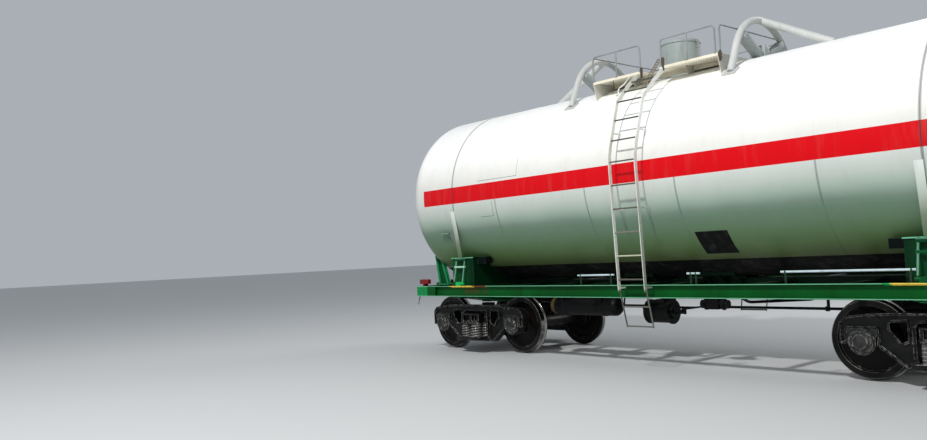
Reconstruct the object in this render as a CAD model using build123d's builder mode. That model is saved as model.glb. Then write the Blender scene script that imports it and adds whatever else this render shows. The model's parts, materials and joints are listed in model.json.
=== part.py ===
from build123d import *
import math
import os

# A four-axle railway tank car on two three-piece bogies.
# X runs along the car, Y across it, Z up. The origin lies under the middle of the
# car on the floor that the wheel flanges stand on. All sizes are in millimetres.

# Running gear
flange_height = 28.0
tread_radius = 478.5
axle_z = tread_radius + flange_height
bogie_spacing = 7800.0
wheelbase = 1850.0
back_to_back = 1440.0
rim_width = 130.0
journal_y = 1018.0
bogie_x = {1: -bogie_spacing / 2, 2: bogie_spacing / 2}
axle_x = {
    1: bogie_x[1] - wheelbase / 2,
    2: bogie_x[1] + wheelbase / 2,
    3: bogie_x[2] - wheelbase / 2,
    4: bogie_x[2] + wheelbase / 2,
}

# Tank
tank_radius = 1550.0
tank_z = 2813.0
tank_tangent_x = 4780.0
head_depth = 740.0
knuckle_radius = 420.0
tank_top = tank_z + tank_radius

# Frame
frame_half_length = 5040.0
sill_top = 1214.0
sill_bottom = 1029.0
sill_face_y = 1520.0
sill_web_y = 1450.0
plate = 10.0
centre_sill_top = 1236.0
centre_sill_bottom = 930.0
centre_sill_half_width = 177.0
centre_sill_half_length = 5400.0
centre_plate_z = 835.0
side_bearer_y = 762.0
jacking_z = 1000.0

# Couplers and brake pipe
coupler_x = 6010.0
coupler_z = 1088.0
pipe_y = 330.0
pipe_z = 1000.0

# Saddles and straps
saddle_half_length = 280.0
saddle_half_width = 1340.0
saddle_top = 1716.0
strap_width = 100.0
strap_thickness = 10.0
strap_rod_top_y = 1385.0
strap_rod_foot_y = 1470.0

# Top fittings
ladder_x = 90.0
ladder_half_width = 228.0
deck_top = 4375.0
deck_half_width = 950.0
deck_left = -1000.0
deck_right = 1220.0
rail_height = 395.0
arch_x = {1: -1530.0, 2: 1360.0}
arch_radius = 775.0
arch_centre_z = 4150.0
arch_foot_y = 885.0
arch_apex_z = arch_centre_z + arch_radius
arch_tube_radius = 51.0
hood_radius = 300.0
hood_top = 4890.0


def tank_surface(y):
    """Height of the tank's upper surface at a distance y from the middle."""
    return tank_z + math.sqrt(tank_radius**2 - y**2)


def bar(start, end, radius, mode=Mode.ADD):
    """Round bar between two points."""
    run = Vector(*end) - Vector(*start)
    with BuildSketch(Plane(origin=start, z_dir=run.normalized())) as section:
        Circle(radius)
    extrude(section.sketch, amount=run.length, mode=mode)


def block(corner, opposite, mode=Mode.ADD):
    """Rectangular block between two opposite corners, named in any order."""
    size = [abs(b - a) for a, b in zip(corner, opposite)]
    middle = tuple((a + b) / 2 for a, b in zip(corner, opposite))
    with Locations(middle):
        Box(*size, mode=mode)


def plate_from(plane, points, thickness, rounding=0, both=False, mode=Mode.ADD):
    """Plate cut to an outline in a plane, its corners rounded if asked."""
    with BuildSketch(plane) as outline:
        with BuildLine():
            Polyline(*points, close=True)
        make_face()
        if rounding:
            fillet(outline.vertices(), radius=rounding)
    extrude(outline.sketch, amount=thickness, both=both, mode=mode)


def across(points, x, thickness, rounding=0, mode=Mode.ADD):
    """Plate of (y, z) points that stands across the car and grows in +X from x."""
    plate_from(Plane.YZ.offset(x), points, thickness, rounding, mode=mode)


def along(points, y, thickness, rounding=0, mode=Mode.ADD):
    """Plate of (x, z) points that stands along the car, centred on y."""
    plate_from(Plane.XZ.offset(-y), points, thickness / 2, rounding, True, mode)


def flat(points, z, thickness, rounding=0, mode=Mode.ADD):
    """Plate of (x, y) points that lies flat and grows upward from z."""
    plate_from(Plane.XY.offset(z), points, thickness, rounding, mode=mode)


def mirrored(points, side):
    """The same points with their first coordinate turned to one side."""
    return [(side * first, second) for first, second in points]


def bent_tube(points, bend_radius, radius, mode=Mode.ADD):
    """Round tube along straight runs joined by arcs."""
    with BuildLine() as path:
        FilletPolyline(*points, radius=bend_radius)
    with BuildSketch(Plane(origin=path.line @ 0, z_dir=path.line % 0)) as section:
        Circle(radius)
    sweep(section.sketch, path=path.line, mode=mode)


def cut_tank():
    """Take the tank's own round shape away from what carries it."""
    with BuildSketch(Plane.YZ.offset(-tank_tangent_x)) as round_shape:
        with Locations((0, tank_z)):
            Circle(tank_radius)
    extrude(round_shape.sketch, amount=2 * tank_tangent_x, mode=Mode.SUBTRACT)


finished = []


def keep(builder, name):
    """Name a finished piece and put it on the list of pieces to write."""
    builder.part.label = name
    finished.append(builder.part)


# The tank: a cylinder closed by dished heads, each a wide crown and a tight knuckle
knuckle_centre_r = tank_radius - knuckle_radius
crown_radius = (knuckle_radius**2 - knuckle_centre_r**2 - head_depth**2) / (
    2 * (knuckle_radius - head_depth)
)
crown_angle = math.degrees(math.atan2(knuckle_centre_r, crown_radius - head_depth))
with BuildPart() as tank:
    with BuildSketch(Plane.XZ) as half_tank:
        with BuildLine():
            crest = Line((0, tank_top), (tank_tangent_x, tank_top))
            knuckle = JernArc(crest @ 1, (1, 0), knuckle_radius, crown_angle - 90)
            crown = JernArc(knuckle @ 1, knuckle % 1, crown_radius, -crown_angle)
            Polyline(crown @ 1, (0, tank_z), (0, tank_top))
        make_face()
    revolve(axis=Axis((0, 0, tank_z), (1, 0, 0)))
    mirror(about=Plane.YZ)
keep(tank, "tank")

# Steel straps over the tank at both saddles
strap_leave_angle = -10.0
strap_leave = math.radians(strap_leave_angle)
strap_leave_y = (tank_radius + strap_thickness / 2) * math.cos(strap_leave)
strap_leave_z = tank_z + (tank_radius + strap_thickness / 2) * math.sin(strap_leave)
with BuildPart() as tank_straps:
    for x in bogie_x.values():
        with BuildSketch(Plane.YZ.offset(x - strap_width / 2)):
            with Locations((0, tank_z)):
                Circle(tank_radius + strap_thickness)
                Circle(tank_radius, mode=Mode.SUBTRACT)
            with Locations((0, strap_leave_z)):
                Rectangle(
                    3 * tank_radius,
                    2 * tank_radius,
                    align=(Align.CENTER, Align.MAX),
                    mode=Mode.SUBTRACT,
                )
        extrude(amount=strap_width)
keep(tank_straps, "tank_straps")

# The straps' straight ends, each on a yoke, two screwed rods and an anchor with a pin
rod_offset = 112.0
crosspiece_half_length = rod_offset + 22
yoke_z = saddle_top - 20
crosspiece_z = 1550.0
anchor_top = sill_top + 70
with BuildPart() as strap_tie_rods:
    for x in bogie_x.values():
        for side in (-1, 1):
            half = strap_thickness / 2
            tail = [
                (strap_leave_y - half, strap_leave_z),
                (strap_leave_y + half, strap_leave_z),
                (strap_rod_top_y + half, yoke_z),
                (strap_rod_top_y - half, yoke_z),
            ]
            across(mirrored(tail, side), x - strap_width / 2, strap_width)
            top_y = side * strap_rod_top_y
            foot_y = side * strap_rod_foot_y
            block(
                (x - crosspiece_half_length, top_y - 24, yoke_z - 40),
                (x + crosspiece_half_length, top_y + 24, yoke_z),
            )
            for rod_x in (x - rod_offset, x + rod_offset):
                bar((rod_x, top_y, yoke_z - 20), (rod_x, foot_y, sill_top + 40), 13)
            share = (yoke_z - crosspiece_z) / (yoke_z - sill_top)
            middle_y = top_y + share * (foot_y - top_y)
            block(
                (x - crosspiece_half_length, middle_y - 20, crosspiece_z - 14),
                (x + crosspiece_half_length, middle_y + 20, crosspiece_z + 14),
            )
            anchor = [
                (x - 82, sill_top),
                (x + 82, sill_top),
                (x + 82, anchor_top - 20),
                (x + 40, anchor_top),
                (x - 40, anchor_top),
                (x - 82, anchor_top - 20),
            ]
            along(anchor, foot_y, 70)
            bar((x - 142, foot_y, sill_top + 40), (x + 142, foot_y, sill_top + 40), 22)
keep(strap_tie_rods, "strap_tie_rods")

# Centre sill: a top-hat section open below
with BuildPart() as centre_sill:
    outer = centre_sill_half_width
    wall = 12.0
    lip = 60.0
    half_hat = [
        (outer - wall, centre_sill_top - wall),
        (outer - wall, centre_sill_bottom),
        (outer + lip, centre_sill_bottom),
        (outer + lip, centre_sill_bottom + wall),
        (outer, centre_sill_bottom + wall),
        (outer, centre_sill_top),
    ]
    hat = half_hat + [(-y, z) for y, z in reversed(half_hat)]
    across(hat, -centre_sill_half_length, 2 * centre_sill_half_length)
keep(centre_sill, "centre_sill")

# Saddles on the body bolsters: a rolled bearing plate on webs, cheeks and top flanges
bearing_plate = 16.0
cheek = 16.0
with BuildPart() as saddles:
    for x in bogie_x.values():
        low_x = x - saddle_half_length
        high_x = x + saddle_half_length
        with BuildSketch(Plane.YZ.offset(low_x)):
            with Locations((0, tank_z)):
                Circle(tank_radius + bearing_plate)
            with Locations((0, saddle_top)):
                Rectangle(
                    4 * tank_radius,
                    4 * tank_radius,
                    align=(Align.CENTER, Align.MIN),
                    mode=Mode.SUBTRACT,
                )
        extrude(amount=2 * saddle_half_length)
        web = [
            (-saddle_half_width, sill_top),
            (saddle_half_width, sill_top),
            (saddle_half_width, saddle_top),
            (-saddle_half_width, saddle_top),
        ]
        for web_x in (low_x, x - 10, high_x - 20):
            across(web, web_x, 20)
        block(
            (low_x, -saddle_half_width, sill_top),
            (high_x, saddle_half_width, sill_top + bearing_plate),
        )
        inner_end = x - math.copysign(saddle_half_length, x)
        toward_middle = -math.copysign(1, x)
        for side in (-1, 1):
            block(
                (low_x, side * (saddle_half_width - cheek), sill_top),
                (high_x, side * saddle_half_width, saddle_top),
            )
            block(
                (low_x - 12, side * 1000, saddle_top - cheek),
                (high_x + 12, side * (saddle_half_width + 18), saddle_top),
            )
            block(
                (inner_end - toward_middle * 30, side * 1060, saddle_top - 125),
                (inner_end + toward_middle * 210, side * 1230, saddle_top - 5),
            )
    cut_tank()
    add(centre_sill.part, mode=Mode.SUBTRACT)
keep(saddles, "saddles")

# Flanged struts from the frame ends to the tank heads
strut_y = 950.0
strut_top = 1775.0
strut_web = [(4760, sill_top), (5012, sill_top), (5106, strut_top), (4945, strut_top)]
strut_outer = [(4998, sill_top), (5012, sill_top), (5106, strut_top), (5092, strut_top)]
strut_inner = [(4760, sill_top), (4774, sill_top), (4959, strut_top), (4945, strut_top)]
with BuildPart() as end_struts:
    for end in (-1, 1):
        for side in (-1, 1):
            along(mirrored(strut_web, end), side * strut_y, 12)
            for strut_flange in (strut_outer, strut_inner):
                along(mirrored(strut_flange, end), side * strut_y, 90)
            block(
                (end * 4735, side * (strut_y - 60), sill_top),
                (end * 5030, side * (strut_y + 60), sill_top + 12),
            )
    add(tank.part, mode=Mode.SUBTRACT)
keep(end_struts, "end_struts")

# Side sills: channels open outwards, closed by plates at the corners
with BuildPart() as side_sills:
    for side in (-1, 1):
        channel = [
            (sill_web_y, sill_bottom),
            (sill_face_y, sill_bottom),
            (sill_face_y, sill_bottom + plate),
            (sill_web_y + plate, sill_bottom + plate),
            (sill_web_y + plate, sill_top - plate),
            (sill_face_y, sill_top - plate),
            (sill_face_y, sill_top),
            (sill_web_y, sill_top),
        ]
        across(mirrored(channel, side), -frame_half_length, 2 * frame_half_length)
        for end in (-1, 1):
            block(
                (end * 4730, side * (sill_face_y - plate), sill_bottom),
                (end * frame_half_length, side * sill_face_y, sill_top),
            )
            block(
                (end * 4510, side * (sill_face_y - 2 * plate), sill_bottom + 2),
                (end * 4760, side * (sill_face_y - plate + 4), sill_top - 2),
            )
keep(side_sills, "side_sills")

# End sills: channels open inwards, with gusset plates in the corners
gusset = [(5030, 1450), (4640, 1450), (4640, 1330), (4900, 1080), (5030, 1080)]
with BuildPart() as end_sills:
    for end in (-1, 1):
        for side in (-1, 1):
            inner_y = side * centre_sill_half_width
            outer_y = side * sill_web_y
            face_x = end * frame_half_length
            back_x = face_x - end * 90
            block((face_x - end * plate, inner_y, sill_bottom), (face_x, outer_y, sill_top))
            for shelf_z in (sill_bottom, sill_top - plate):
                block((back_x, inner_y, shelf_z), (face_x, outer_y, shelf_z + plate))
            corner = [(end * x, side * y) for x, y in gusset]
            flat(corner, sill_bottom, plate)
keep(end_sills, "end_sills")

# Red capped brackets on the frame corners at opposite ends
with BuildPart() as corner_caps:
    for end, side in ((-1, -1), (1, 1)):
        cap_x = end * 4925
        cap_y = side * 1405
        block((cap_x - 20, cap_y - 45, sill_top), (cap_x + 20, cap_y + 52, sill_top + 40))
        with BuildSketch(Plane.XY.offset(sill_top + 40)) as cap_shape:
            with Locations((cap_x, cap_y)):
                RectangleRounded(250, 110, 40)
        extrude(cap_shape.sketch, amount=85)
        top_edges = corner_caps.edges().group_by(Axis.Z)[-1]
        fillet(top_edges, radius=20)
keep(corner_caps, "corner_caps")

# Body bolsters: tapered boxes with the upper centre plates and side bearers
bolster_half_length = 200.0
bolster_inner_z = 880.0
skin_points = [(centre_sill_half_width, 0), (600, 0), (1400, sill_bottom - 20 - bolster_inner_z)]
with BuildPart() as body_bolsters:
    for x in bogie_x.values():
        for side in (-1, 1):
            web = [
                (centre_sill_half_width, bolster_inner_z),
                (600, bolster_inner_z),
                (1400, sill_bottom - 20),
                (sill_web_y, sill_bottom),
                (sill_web_y, sill_top),
                (centre_sill_half_width, sill_top),
            ]
            for web_x in (x - 150, x + 138):
                across(mirrored(web, side), web_x, 12)
            lower = [(y, bolster_inner_z + rise) for y, rise in skin_points]
            upper = [(y, z + 12) for y, z in reversed(lower)]
            across(
                mirrored(lower + upper, side),
                x - bolster_half_length,
                2 * bolster_half_length,
            )
            block(
                (x - bolster_half_length, side * centre_sill_half_width, sill_top - 12),
                (x + bolster_half_length, side * sill_web_y, sill_top),
            )
            bearer_y = side * side_bearer_y
            block((x - 110, bearer_y - 55, 892), (x + 110, bearer_y + 55, 920))
            bar(
                (x - 250, side * pipe_y, pipe_z),
                (x + 250, side * pipe_y, pipe_z),
                35,
                mode=Mode.SUBTRACT,
            )
            block(
                (x - 100, side * 1395, jacking_z),
                (x + 100, side * 1500, sill_bottom),
            )
        block(
            (x - bolster_half_length, -centre_sill_half_width, bolster_inner_z),
            (x + bolster_half_length, centre_sill_half_width, centre_sill_bottom),
        )
        bar((x, 0, centre_plate_z), (x, 0, bolster_inner_z), 150)
    add(centre_sill.part, mode=Mode.SUBTRACT)
keep(body_bolsters, "body_bolsters")

# Cross bearers between the centre sill and the side sills
bearer_x = (-2900, -1950, -1150, -320, 320, 1700, 2900)
bearer_bottom = 1040.0
with BuildPart() as cross_bearers:
    for x in bearer_x:
        for side in (-1, 1):
            inner_y = side * centre_sill_half_width
            outer_y = side * sill_web_y
            block((x - 5, inner_y, bearer_bottom), (x + 5, outer_y, sill_top - plate))
            for shelf_z in (bearer_bottom, sill_top - 2 * plate):
                block((x - 60, inner_y, shelf_z), (x + 60, outer_y, shelf_z + plate))
keep(cross_bearers, "cross_bearers")

# Shaped feet that hold the middle of the tank to the centre sill
foot_outline = [
    (centre_sill_half_width, 1150),
    (centre_sill_half_width + 60, 1150),
    (470, 1290),
    (470, 1400),
    (centre_sill_half_width, 1400),
]
with BuildPart() as tank_feet:
    for x in (-700, 700):
        for side in (-1, 1):
            for rib_x in (x - 260, x - 8, x + 244):
                across(mirrored(foot_outline, side), rib_x, 16)
            block(
                (x - 260, side * centre_sill_half_width, 1150),
                (x + 260, side * (centre_sill_half_width + 16), 1300),
            )
            pad = [
                (centre_sill_half_width, 1240),
                (480, 1290),
                (480, 1400),
                (centre_sill_half_width, 1400),
            ]
            across(mirrored(pad, side), x - 280, 560)
    cut_tank()
    add(cross_bearers.part, mode=Mode.SUBTRACT)
keep(tank_feet, "tank_feet")

# One automatic coupler, nose to +X, its pulling face at the origin
# Points of the head seen from above: the large tooth is on -Y, the small one on +Y
head_outline = [
    (-330, -95),
    (-250, -205),
    (60, -225),
    (185, -215),
    (205, -150),
    (120, -75),
    (-70, -50),
    (-95, 40),
    (40, 95),
    (95, 130),
    (95, 190),
    (-200, 200),
    (-330, 95),
]
neck_outline = [(-470, -62), (-300, -120), (-300, 120), (-470, 62)]
lock_outline = [(-120, -58), (5, -62), (-20, 20), (-120, 46)]
with BuildPart() as coupler:
    flat(head_outline, -130, 260, rounding=14)
    chamfer(coupler.faces().filter_by(Axis.Z).edges(), length=10)
    flat(neck_outline, -105, 210)
    flat(lock_outline, -55, 110)
    block((-1010, -65, -85), (-440, 65, 85))
    block((-265, -40, 128), (-150, 60, 158))
    bar((-205, 10, 150), (-205, 10, 185), 24)
    bar((-300, -210, -95), (-300, -165, -95), 30)
    for rib_y in (-150, 150):
        block((-180, rib_y - 9, 125), (60, rib_y + 9, 146))

# Couplers with their draft gear: a plain block in the mouth of the centre sill
with BuildPart() as couplers:
    for end, turn in ((-1, 180), (1, 0)):
        with Locations(Location((end * coupler_x, 0, coupler_z), (0, 0, turn))):
            add(coupler.part)
        block(
            (end * 4420, -120, coupler_z - 120),
            (end * 5020, 120, coupler_z + 120),
        )
keep(couplers, "couplers")

# Striker castings around the shanks
with BuildPart() as strikers:
    for end in (-1, 1):
        face = [(-240, 930), (240, 930), (240, 1200), (170, 1262), (-170, 1262), (-240, 1200)]
        back_x = min(end * centre_sill_half_length, end * (centre_sill_half_length + 60))
        across(face, back_x, 60, rounding=16)
        front_x = end * (centre_sill_half_length + 60)
        for side in (-1, 1):
            block(
                (front_x, side * 150, 975),
                (front_x + end * 36, side * 120, 1200),
            )
            block(
                (end * centre_sill_half_length, side * centre_sill_half_width, 955),
                (end * (centre_sill_half_length - 60), side * 236, 1200),
            )
        block(
            (end * 5300, -100, coupler_z - 110),
            (end * 5600, 100, coupler_z + 110),
            mode=Mode.SUBTRACT,
        )
    add(centre_sill.part, mode=Mode.SUBTRACT)
keep(strikers, "strikers")

# Uncoupling levers along the end sills, in two brackets each
lever_z = 1150.0
with BuildPart() as uncoupling_levers:
    for end in (-1, 1):
        face_x = end * frame_half_length
        lever_x = end * (frame_half_length + 45)
        bent_tube(
            [
                (lever_x + end * 160, end * 210, lever_z + 90),
                (lever_x, end * 290, lever_z),
                (lever_x, end * 1380, lever_z),
                (lever_x, end * 1470, 870),
            ],
            60,
            12,
        )
        for y in (360, 1250):
            block(
                (face_x, end * y - 15, lever_z - 25),
                (lever_x + end * 20, end * y + 15, lever_z + 25),
            )
keep(uncoupling_levers, "uncoupling_levers")

# Brake pipe with its end cocks
with BuildPart() as brake_pipe:
    bent_tube(
        [
            (-5300, -pipe_y, pipe_z),
            (900, -pipe_y, pipe_z),
            (1100, -pipe_y, 895),
            (1700, pipe_y, 895),
            (1900, pipe_y, pipe_z),
            (5300, pipe_y, pipe_z),
        ],
        90,
        21,
    )
    for end in (-1, 1):
        mouth_y = end * pipe_y
        bar((end * 5300, mouth_y, pipe_z), (end * 5420, mouth_y, pipe_z), 34)
        bar((end * 5390, mouth_y, pipe_z), (end * 5460, mouth_y, pipe_z - 90), 26)
        bar((end * 5345, mouth_y, pipe_z), (end * 5345, mouth_y, pipe_z + 55), 14)
        block(
            (end * 5335, mouth_y - 9, pipe_z + 48),
            (end * 5455, mouth_y + 9, pipe_z + 58),
        )
keep(brake_pipe, "brake_pipe")

# Air reservoir on two hoop hangers, with the air distributor beside the middle
reservoir_y = -750.0
reservoir_z = 838.0
reservoir_radius = 150.0
distributor_x = 700.0
distributor_y = -560.0
distributor_z = 880.0
with BuildPart() as air_reservoir:
    bar((-2270, reservoir_y, reservoir_z), (-860, reservoir_y, reservoir_z), reservoir_radius)
    fillet(air_reservoir.edges().filter_by(GeomType.CIRCLE), radius=95)
    for x in (-1950, -1150):
        with BuildSketch(Plane.YZ.offset(x - 25)) as hoop:
            with Locations((reservoir_y, reservoir_z)):
                Circle(reservoir_radius + 8)
                Circle(reservoir_radius - 4, mode=Mode.SUBTRACT)
        extrude(hoop.sketch, amount=50)
        for y in (reservoir_y - reservoir_radius, reservoir_y + reservoir_radius):
            block((x - 25, y - 8, reservoir_z), (x + 25, y + 8, bearer_bottom))
    bent_tube(
        [
            (-900, reservoir_y, reservoir_z + 20),
            (-780, reservoir_y, reservoir_z + 20),
            (-780, reservoir_y, 985),
            (distributor_x - 60, reservoir_y, 985),
            (distributor_x - 60, distributor_y, 985),
        ],
        50,
        13,
    )
    block(
        (distributor_x - 95, distributor_y - 90, distributor_z - 70),
        (distributor_x + 95, distributor_y + 90, distributor_z + 150),
    )
    for end in (-1, 1):
        end_x = distributor_x + end * 215
        bar((distributor_x, distributor_y, distributor_z), (end_x, distributor_y, distributor_z), 62)
        flange_x = distributor_x + end * 130
        bar(
            (flange_x, distributor_y, distributor_z),
            (flange_x + end * 24, distributor_y, distributor_z),
            84,
        )
    block(
        (distributor_x - 60, distributor_y - 60, distributor_z + 148),
        (distributor_x + 60, -centre_sill_half_width, distributor_z + 184),
    )
keep(air_reservoir, "air_reservoir")

# Brake cylinder with its two levers, tie rod and pull rods to both bogies
cylinder_y = -420.0
cylinder_z = 745.0
lever_plane_z = 790.0
cylinder_steps = [
    # start x, end x, radius
    (-560, -540, 150),
    (-540, -120, 172),
    (-545, -520, 188),
    (-140, -115, 188),
    (-115, -80, 110),
    (-80, 90, 32),
]
pull_rod_end_x = 3420.0
with BuildPart() as brake_cylinder:
    for start_x, end_x, radius in cylinder_steps:
        bar((start_x, cylinder_y, cylinder_z), (end_x, cylinder_y, cylinder_z), radius)
    block((-440, cylinder_y - 130, 880), (-200, -centre_sill_half_width - 40, 930))
    for lever_x in (-620, 90):
        lever = [
            (lever_x - 30, cylinder_y - 60),
            (lever_x + 30, cylinder_y - 60),
            (lever_x + 42, -170),
            (lever_x + 22, 80),
            (lever_x - 22, 80),
            (lever_x - 42, -170),
        ]
        flat(lever, lever_plane_z - 10, 20, rounding=12)
        bar((lever_x, cylinder_y, cylinder_z - 35), (lever_x, cylinder_y, lever_plane_z + 30), 20)
    block((-640, cylinder_y - 24, cylinder_z - 24), (-550, cylinder_y + 24, cylinder_z + 24))
    bar((-620, -150, lever_plane_z), (90, -150, lever_plane_z), 16)
    for lever_x, end in ((-620, -1), (90, 1)):
        bar((lever_x, 40, lever_plane_z), (end * pull_rod_end_x, 40, lever_plane_z), 20)
        for hanger_x in (end * 2050, end * 2750, end * 3390):
            block((hanger_x - 20, 12, lever_plane_z - 34), (hanger_x + 20, 68, lever_plane_z + 34))
            block(
                (hanger_x - 20, 60, lever_plane_z),
                (hanger_x + 20, 72, centre_sill_bottom + 8),
            )
            block(
                (hanger_x - 20, 60, centre_sill_bottom - 12),
                (hanger_x + 20, centre_sill_half_width + 50, centre_sill_bottom),
            )
    add(centre_sill.part, mode=Mode.SUBTRACT)
keep(brake_cylinder, "brake_cylinder")

# Ladders on both sides: stringers bent over the tank's shoulder, round rungs
stringer_width = 58
stringer_path = [
    (1660, 1118),
    (1730, 2900),
    (1722, 3060),
    (1690, 3200),
    (1473, 3870),
    (1190, 4140),
    (945, 4321),
]
foot_width = 22
foot_path = [(1524, 611), (1648, 1135)]
rung_points = [
    (1528, 628),
    (1595, 910),
    (1667, 1298),
    (1680, 1634),
    (1693, 1970),
    (1707, 2306),
    (1720, 2642),
    (1726, 2978),
    (1661, 3290),
    (1564, 3590),
    (1472, 3868),
    (1300, 4035),
    (1110, 4199),
]
# Brackets to the frame or the tank: height, inner end, outer end
ladder_brackets = [(1180, sill_face_y, 1650), (2300, 1400, 1690), (3400, 1350, 1612)]
with BuildPart() as side_ladders:
    for side in (-1, 1):
        for stringer_x in (ladder_x - ladder_half_width, ladder_x + ladder_half_width):
            for run, width in ((stringer_path, stringer_width), (foot_path, foot_width)):
                with BuildSketch(Plane.YZ.offset(stringer_x - 5)) as stringer:
                    with BuildLine() as stringer_line:
                        Polyline(*mirrored(run, side))
                    trace(stringer_line.line, line_width=width)
                extrude(stringer.sketch, amount=10)
            for bracket_z, inner_y, outer_y in ladder_brackets:
                block(
                    (stringer_x - 5, side * inner_y, bracket_z - 12),
                    (stringer_x + 5, side * outer_y, bracket_z + 12),
                )
        for y, z in rung_points:
            bar(
                (ladder_x - ladder_half_width, side * y, z),
                (ladder_x + ladder_half_width, side * y, z),
                11,
            )
    add(tank.part, mode=Mode.SUBTRACT)
keep(side_ladders, "side_ladders")

# Working platform around the hood
edge_plate = 6.0
edge_depth = 40.0
hatch_half_width = 165.0
hatch_inner_y = 700.0
deck_bottom = deck_top - edge_plate
with BuildPart() as top_platform:
    block((deck_left, -deck_half_width, deck_bottom), (deck_right, deck_half_width, deck_top))
    for side in (-1, 1):
        edge_y = side * deck_half_width
        block(
            (deck_left, edge_y - side * edge_plate, deck_top - edge_depth),
            (deck_right, edge_y, deck_top),
        )
        for end_x in (deck_left, deck_right - 8):
            end_plate = [
                (300, deck_bottom),
                (deck_half_width - 3, deck_bottom),
                (deck_half_width - 3, deck_top - edge_depth),
                (870, 4020),
                (300, 4020),
            ]
            across(mirrored(end_plate, side), end_x, 8)
        for support_x in (-430, 520):
            support = [(300, deck_bottom), (700, deck_bottom), (620, 4150), (300, 4150)]
            across(mirrored(support, side), support_x, 8)
        block((deck_left, side * 480, deck_top - 66), (deck_right, side * 488, deck_bottom))
    for edge_x in (deck_left, deck_right - edge_plate):
        block(
            (edge_x, -deck_half_width, deck_top - edge_depth),
            (edge_x + edge_plate, deck_half_width, deck_top),
        )
    block((-370, -370, 4200), (370, 370, deck_top + 10), mode=Mode.SUBTRACT)
    for side in (-1, 1):
        block(
            (ladder_x - hatch_half_width, side * hatch_inner_y, 4290),
            (ladder_x + hatch_half_width, side * 1000, deck_top + 10),
            mode=Mode.SUBTRACT,
        )
    add(side_ladders.part, mode=Mode.SUBTRACT)
    add(tank.part, mode=Mode.SUBTRACT)
keep(top_platform, "top_platform")

# Railings: low rails on posts along both sides and across both ends
rail_z = deck_top + rail_height
rail_y = deck_half_width - 12
rail_runs = {"left": (deck_left + 12, -90.0), "right": (275.0, deck_right - 40)}
for side_name, side in (("near", -1), ("far", 1)):
    with BuildPart() as railing:
        for start_x, end_x in rail_runs.values():
            bent_tube(
                [
                    (start_x, side * rail_y, deck_top),
                    (start_x, side * rail_y, rail_z),
                    (end_x, side * rail_y, rail_z),
                    (end_x, side * rail_y, deck_top),
                ],
                60,
                12,
            )
            middle_x = (start_x + end_x) / 2
            bar((middle_x, side * rail_y, deck_top), (middle_x, side * rail_y, rail_z), 12)
            for post_x in (start_x, middle_x, end_x):
                bar((post_x, side * rail_y, deck_top), (post_x, side * rail_y, deck_top + 8), 26)
    keep(railing, "railing_" + side_name)

with BuildPart() as end_rails:
    post_y = rail_y - 30
    for plate_x, outward in ((deck_left, -1), (deck_right, 1)):
        x = plate_x + outward * 20
        bent_tube(
            [
                (x, -post_y, deck_top - 90),
                (x, -post_y, rail_z),
                (x, post_y, rail_z),
                (x, post_y, deck_top - 90),
            ],
            60,
            12,
        )
        for side in (-1, 1):
            for clamp_z in (deck_top - 72, deck_top - 22):
                block(
                    (plate_x, side * post_y - 20, clamp_z - 9),
                    (x + outward * 16, side * post_y + 20, clamp_z + 9),
                )
keep(end_rails, "end_rails")

# Guard arches over the tank top, each with a V strut and a sloping brace
foot_z = tank_surface(arch_foot_y)
foot_angle = math.atan2(foot_z - arch_centre_z, arch_foot_y)
foot_reach = math.hypot(foot_z - arch_centre_z, arch_foot_y)
touch_angle = foot_angle + math.acos(arch_radius / foot_reach)
touch = (
    arch_radius * math.cos(touch_angle),
    arch_centre_z + arch_radius * math.sin(touch_angle),
)
strut_start = (575.0, 4668.0)
strut_radius = 46.0
brace_radius = 54.0
brace_reach = 1040.0
for number, x in arch_x.items():
    outward = math.copysign(1, x)
    with BuildPart() as guard_arch:
        with BuildLine(Plane.YZ.offset(x)) as arch_line:
            Line((-arch_foot_y, foot_z), (-touch[0], touch[1]))
            ThreePointArc((-touch[0], touch[1]), (0, arch_apex_z), touch)
            Line(touch, (arch_foot_y, foot_z))
        with BuildSketch(Plane(origin=arch_line.line @ 0, z_dir=arch_line.line % 0)):
            Circle(arch_tube_radius)
        sweep(path=arch_line.line)
        for side in (-1, 1):
            strut_top = (x, side * strut_start[0], strut_start[1])
            bar(strut_top, (x, side * 55, tank_top), strut_radius)
        brace_foot_x = x + outward * brace_reach
        bar((x, 0, arch_apex_z), (brace_foot_x, 0, tank_top + 10), brace_radius)
        strut_gusset = [(-170, tank_top - 12), (170, tank_top - 12), (105, 4545), (-105, 4545)]
        across(strut_gusset, x - 6, 12)
        foot_pads = ((x, -arch_foot_y), (x, arch_foot_y), (brace_foot_x - outward * 20, 0))
        for pad_x, pad_y in foot_pads:
            slope = math.degrees(math.asin(pad_y / tank_radius))
            pad_plane = Plane(
                origin=(pad_x, pad_y, tank_surface(pad_y)),
                x_dir=(1, 0, 0),
                z_dir=(0, math.sin(math.radians(slope)), math.cos(math.radians(slope))),
            )
            with BuildSketch(pad_plane) as pad_shape:
                RectangleRounded(210, 190, 20)
            extrude(pad_shape.sketch, amount=10, both=True)
        add(tank.part, mode=Mode.SUBTRACT)
    keep(guard_arch, "guard_arch_" + str(number))

# Hood over the valves, open at the top, with its hasp and its lid
hood_wall = 6.0
with BuildPart() as hood:
    with BuildSketch(Plane.XY.offset(4300)):
        Circle(hood_radius)
        Circle(hood_radius - hood_wall, mode=Mode.SUBTRACT)
    extrude(amount=hood_top - 4300)
    block((-hood_radius - 34, -60, hood_top - 60), (-hood_radius + 2, 60, hood_top - 40))
    block((hood_radius - 4, -16, hood_top - 110), (hood_radius + 34, 16, hood_top - 90))
    add(tank.part, mode=Mode.SUBTRACT)
keep(hood, "hood")

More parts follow.
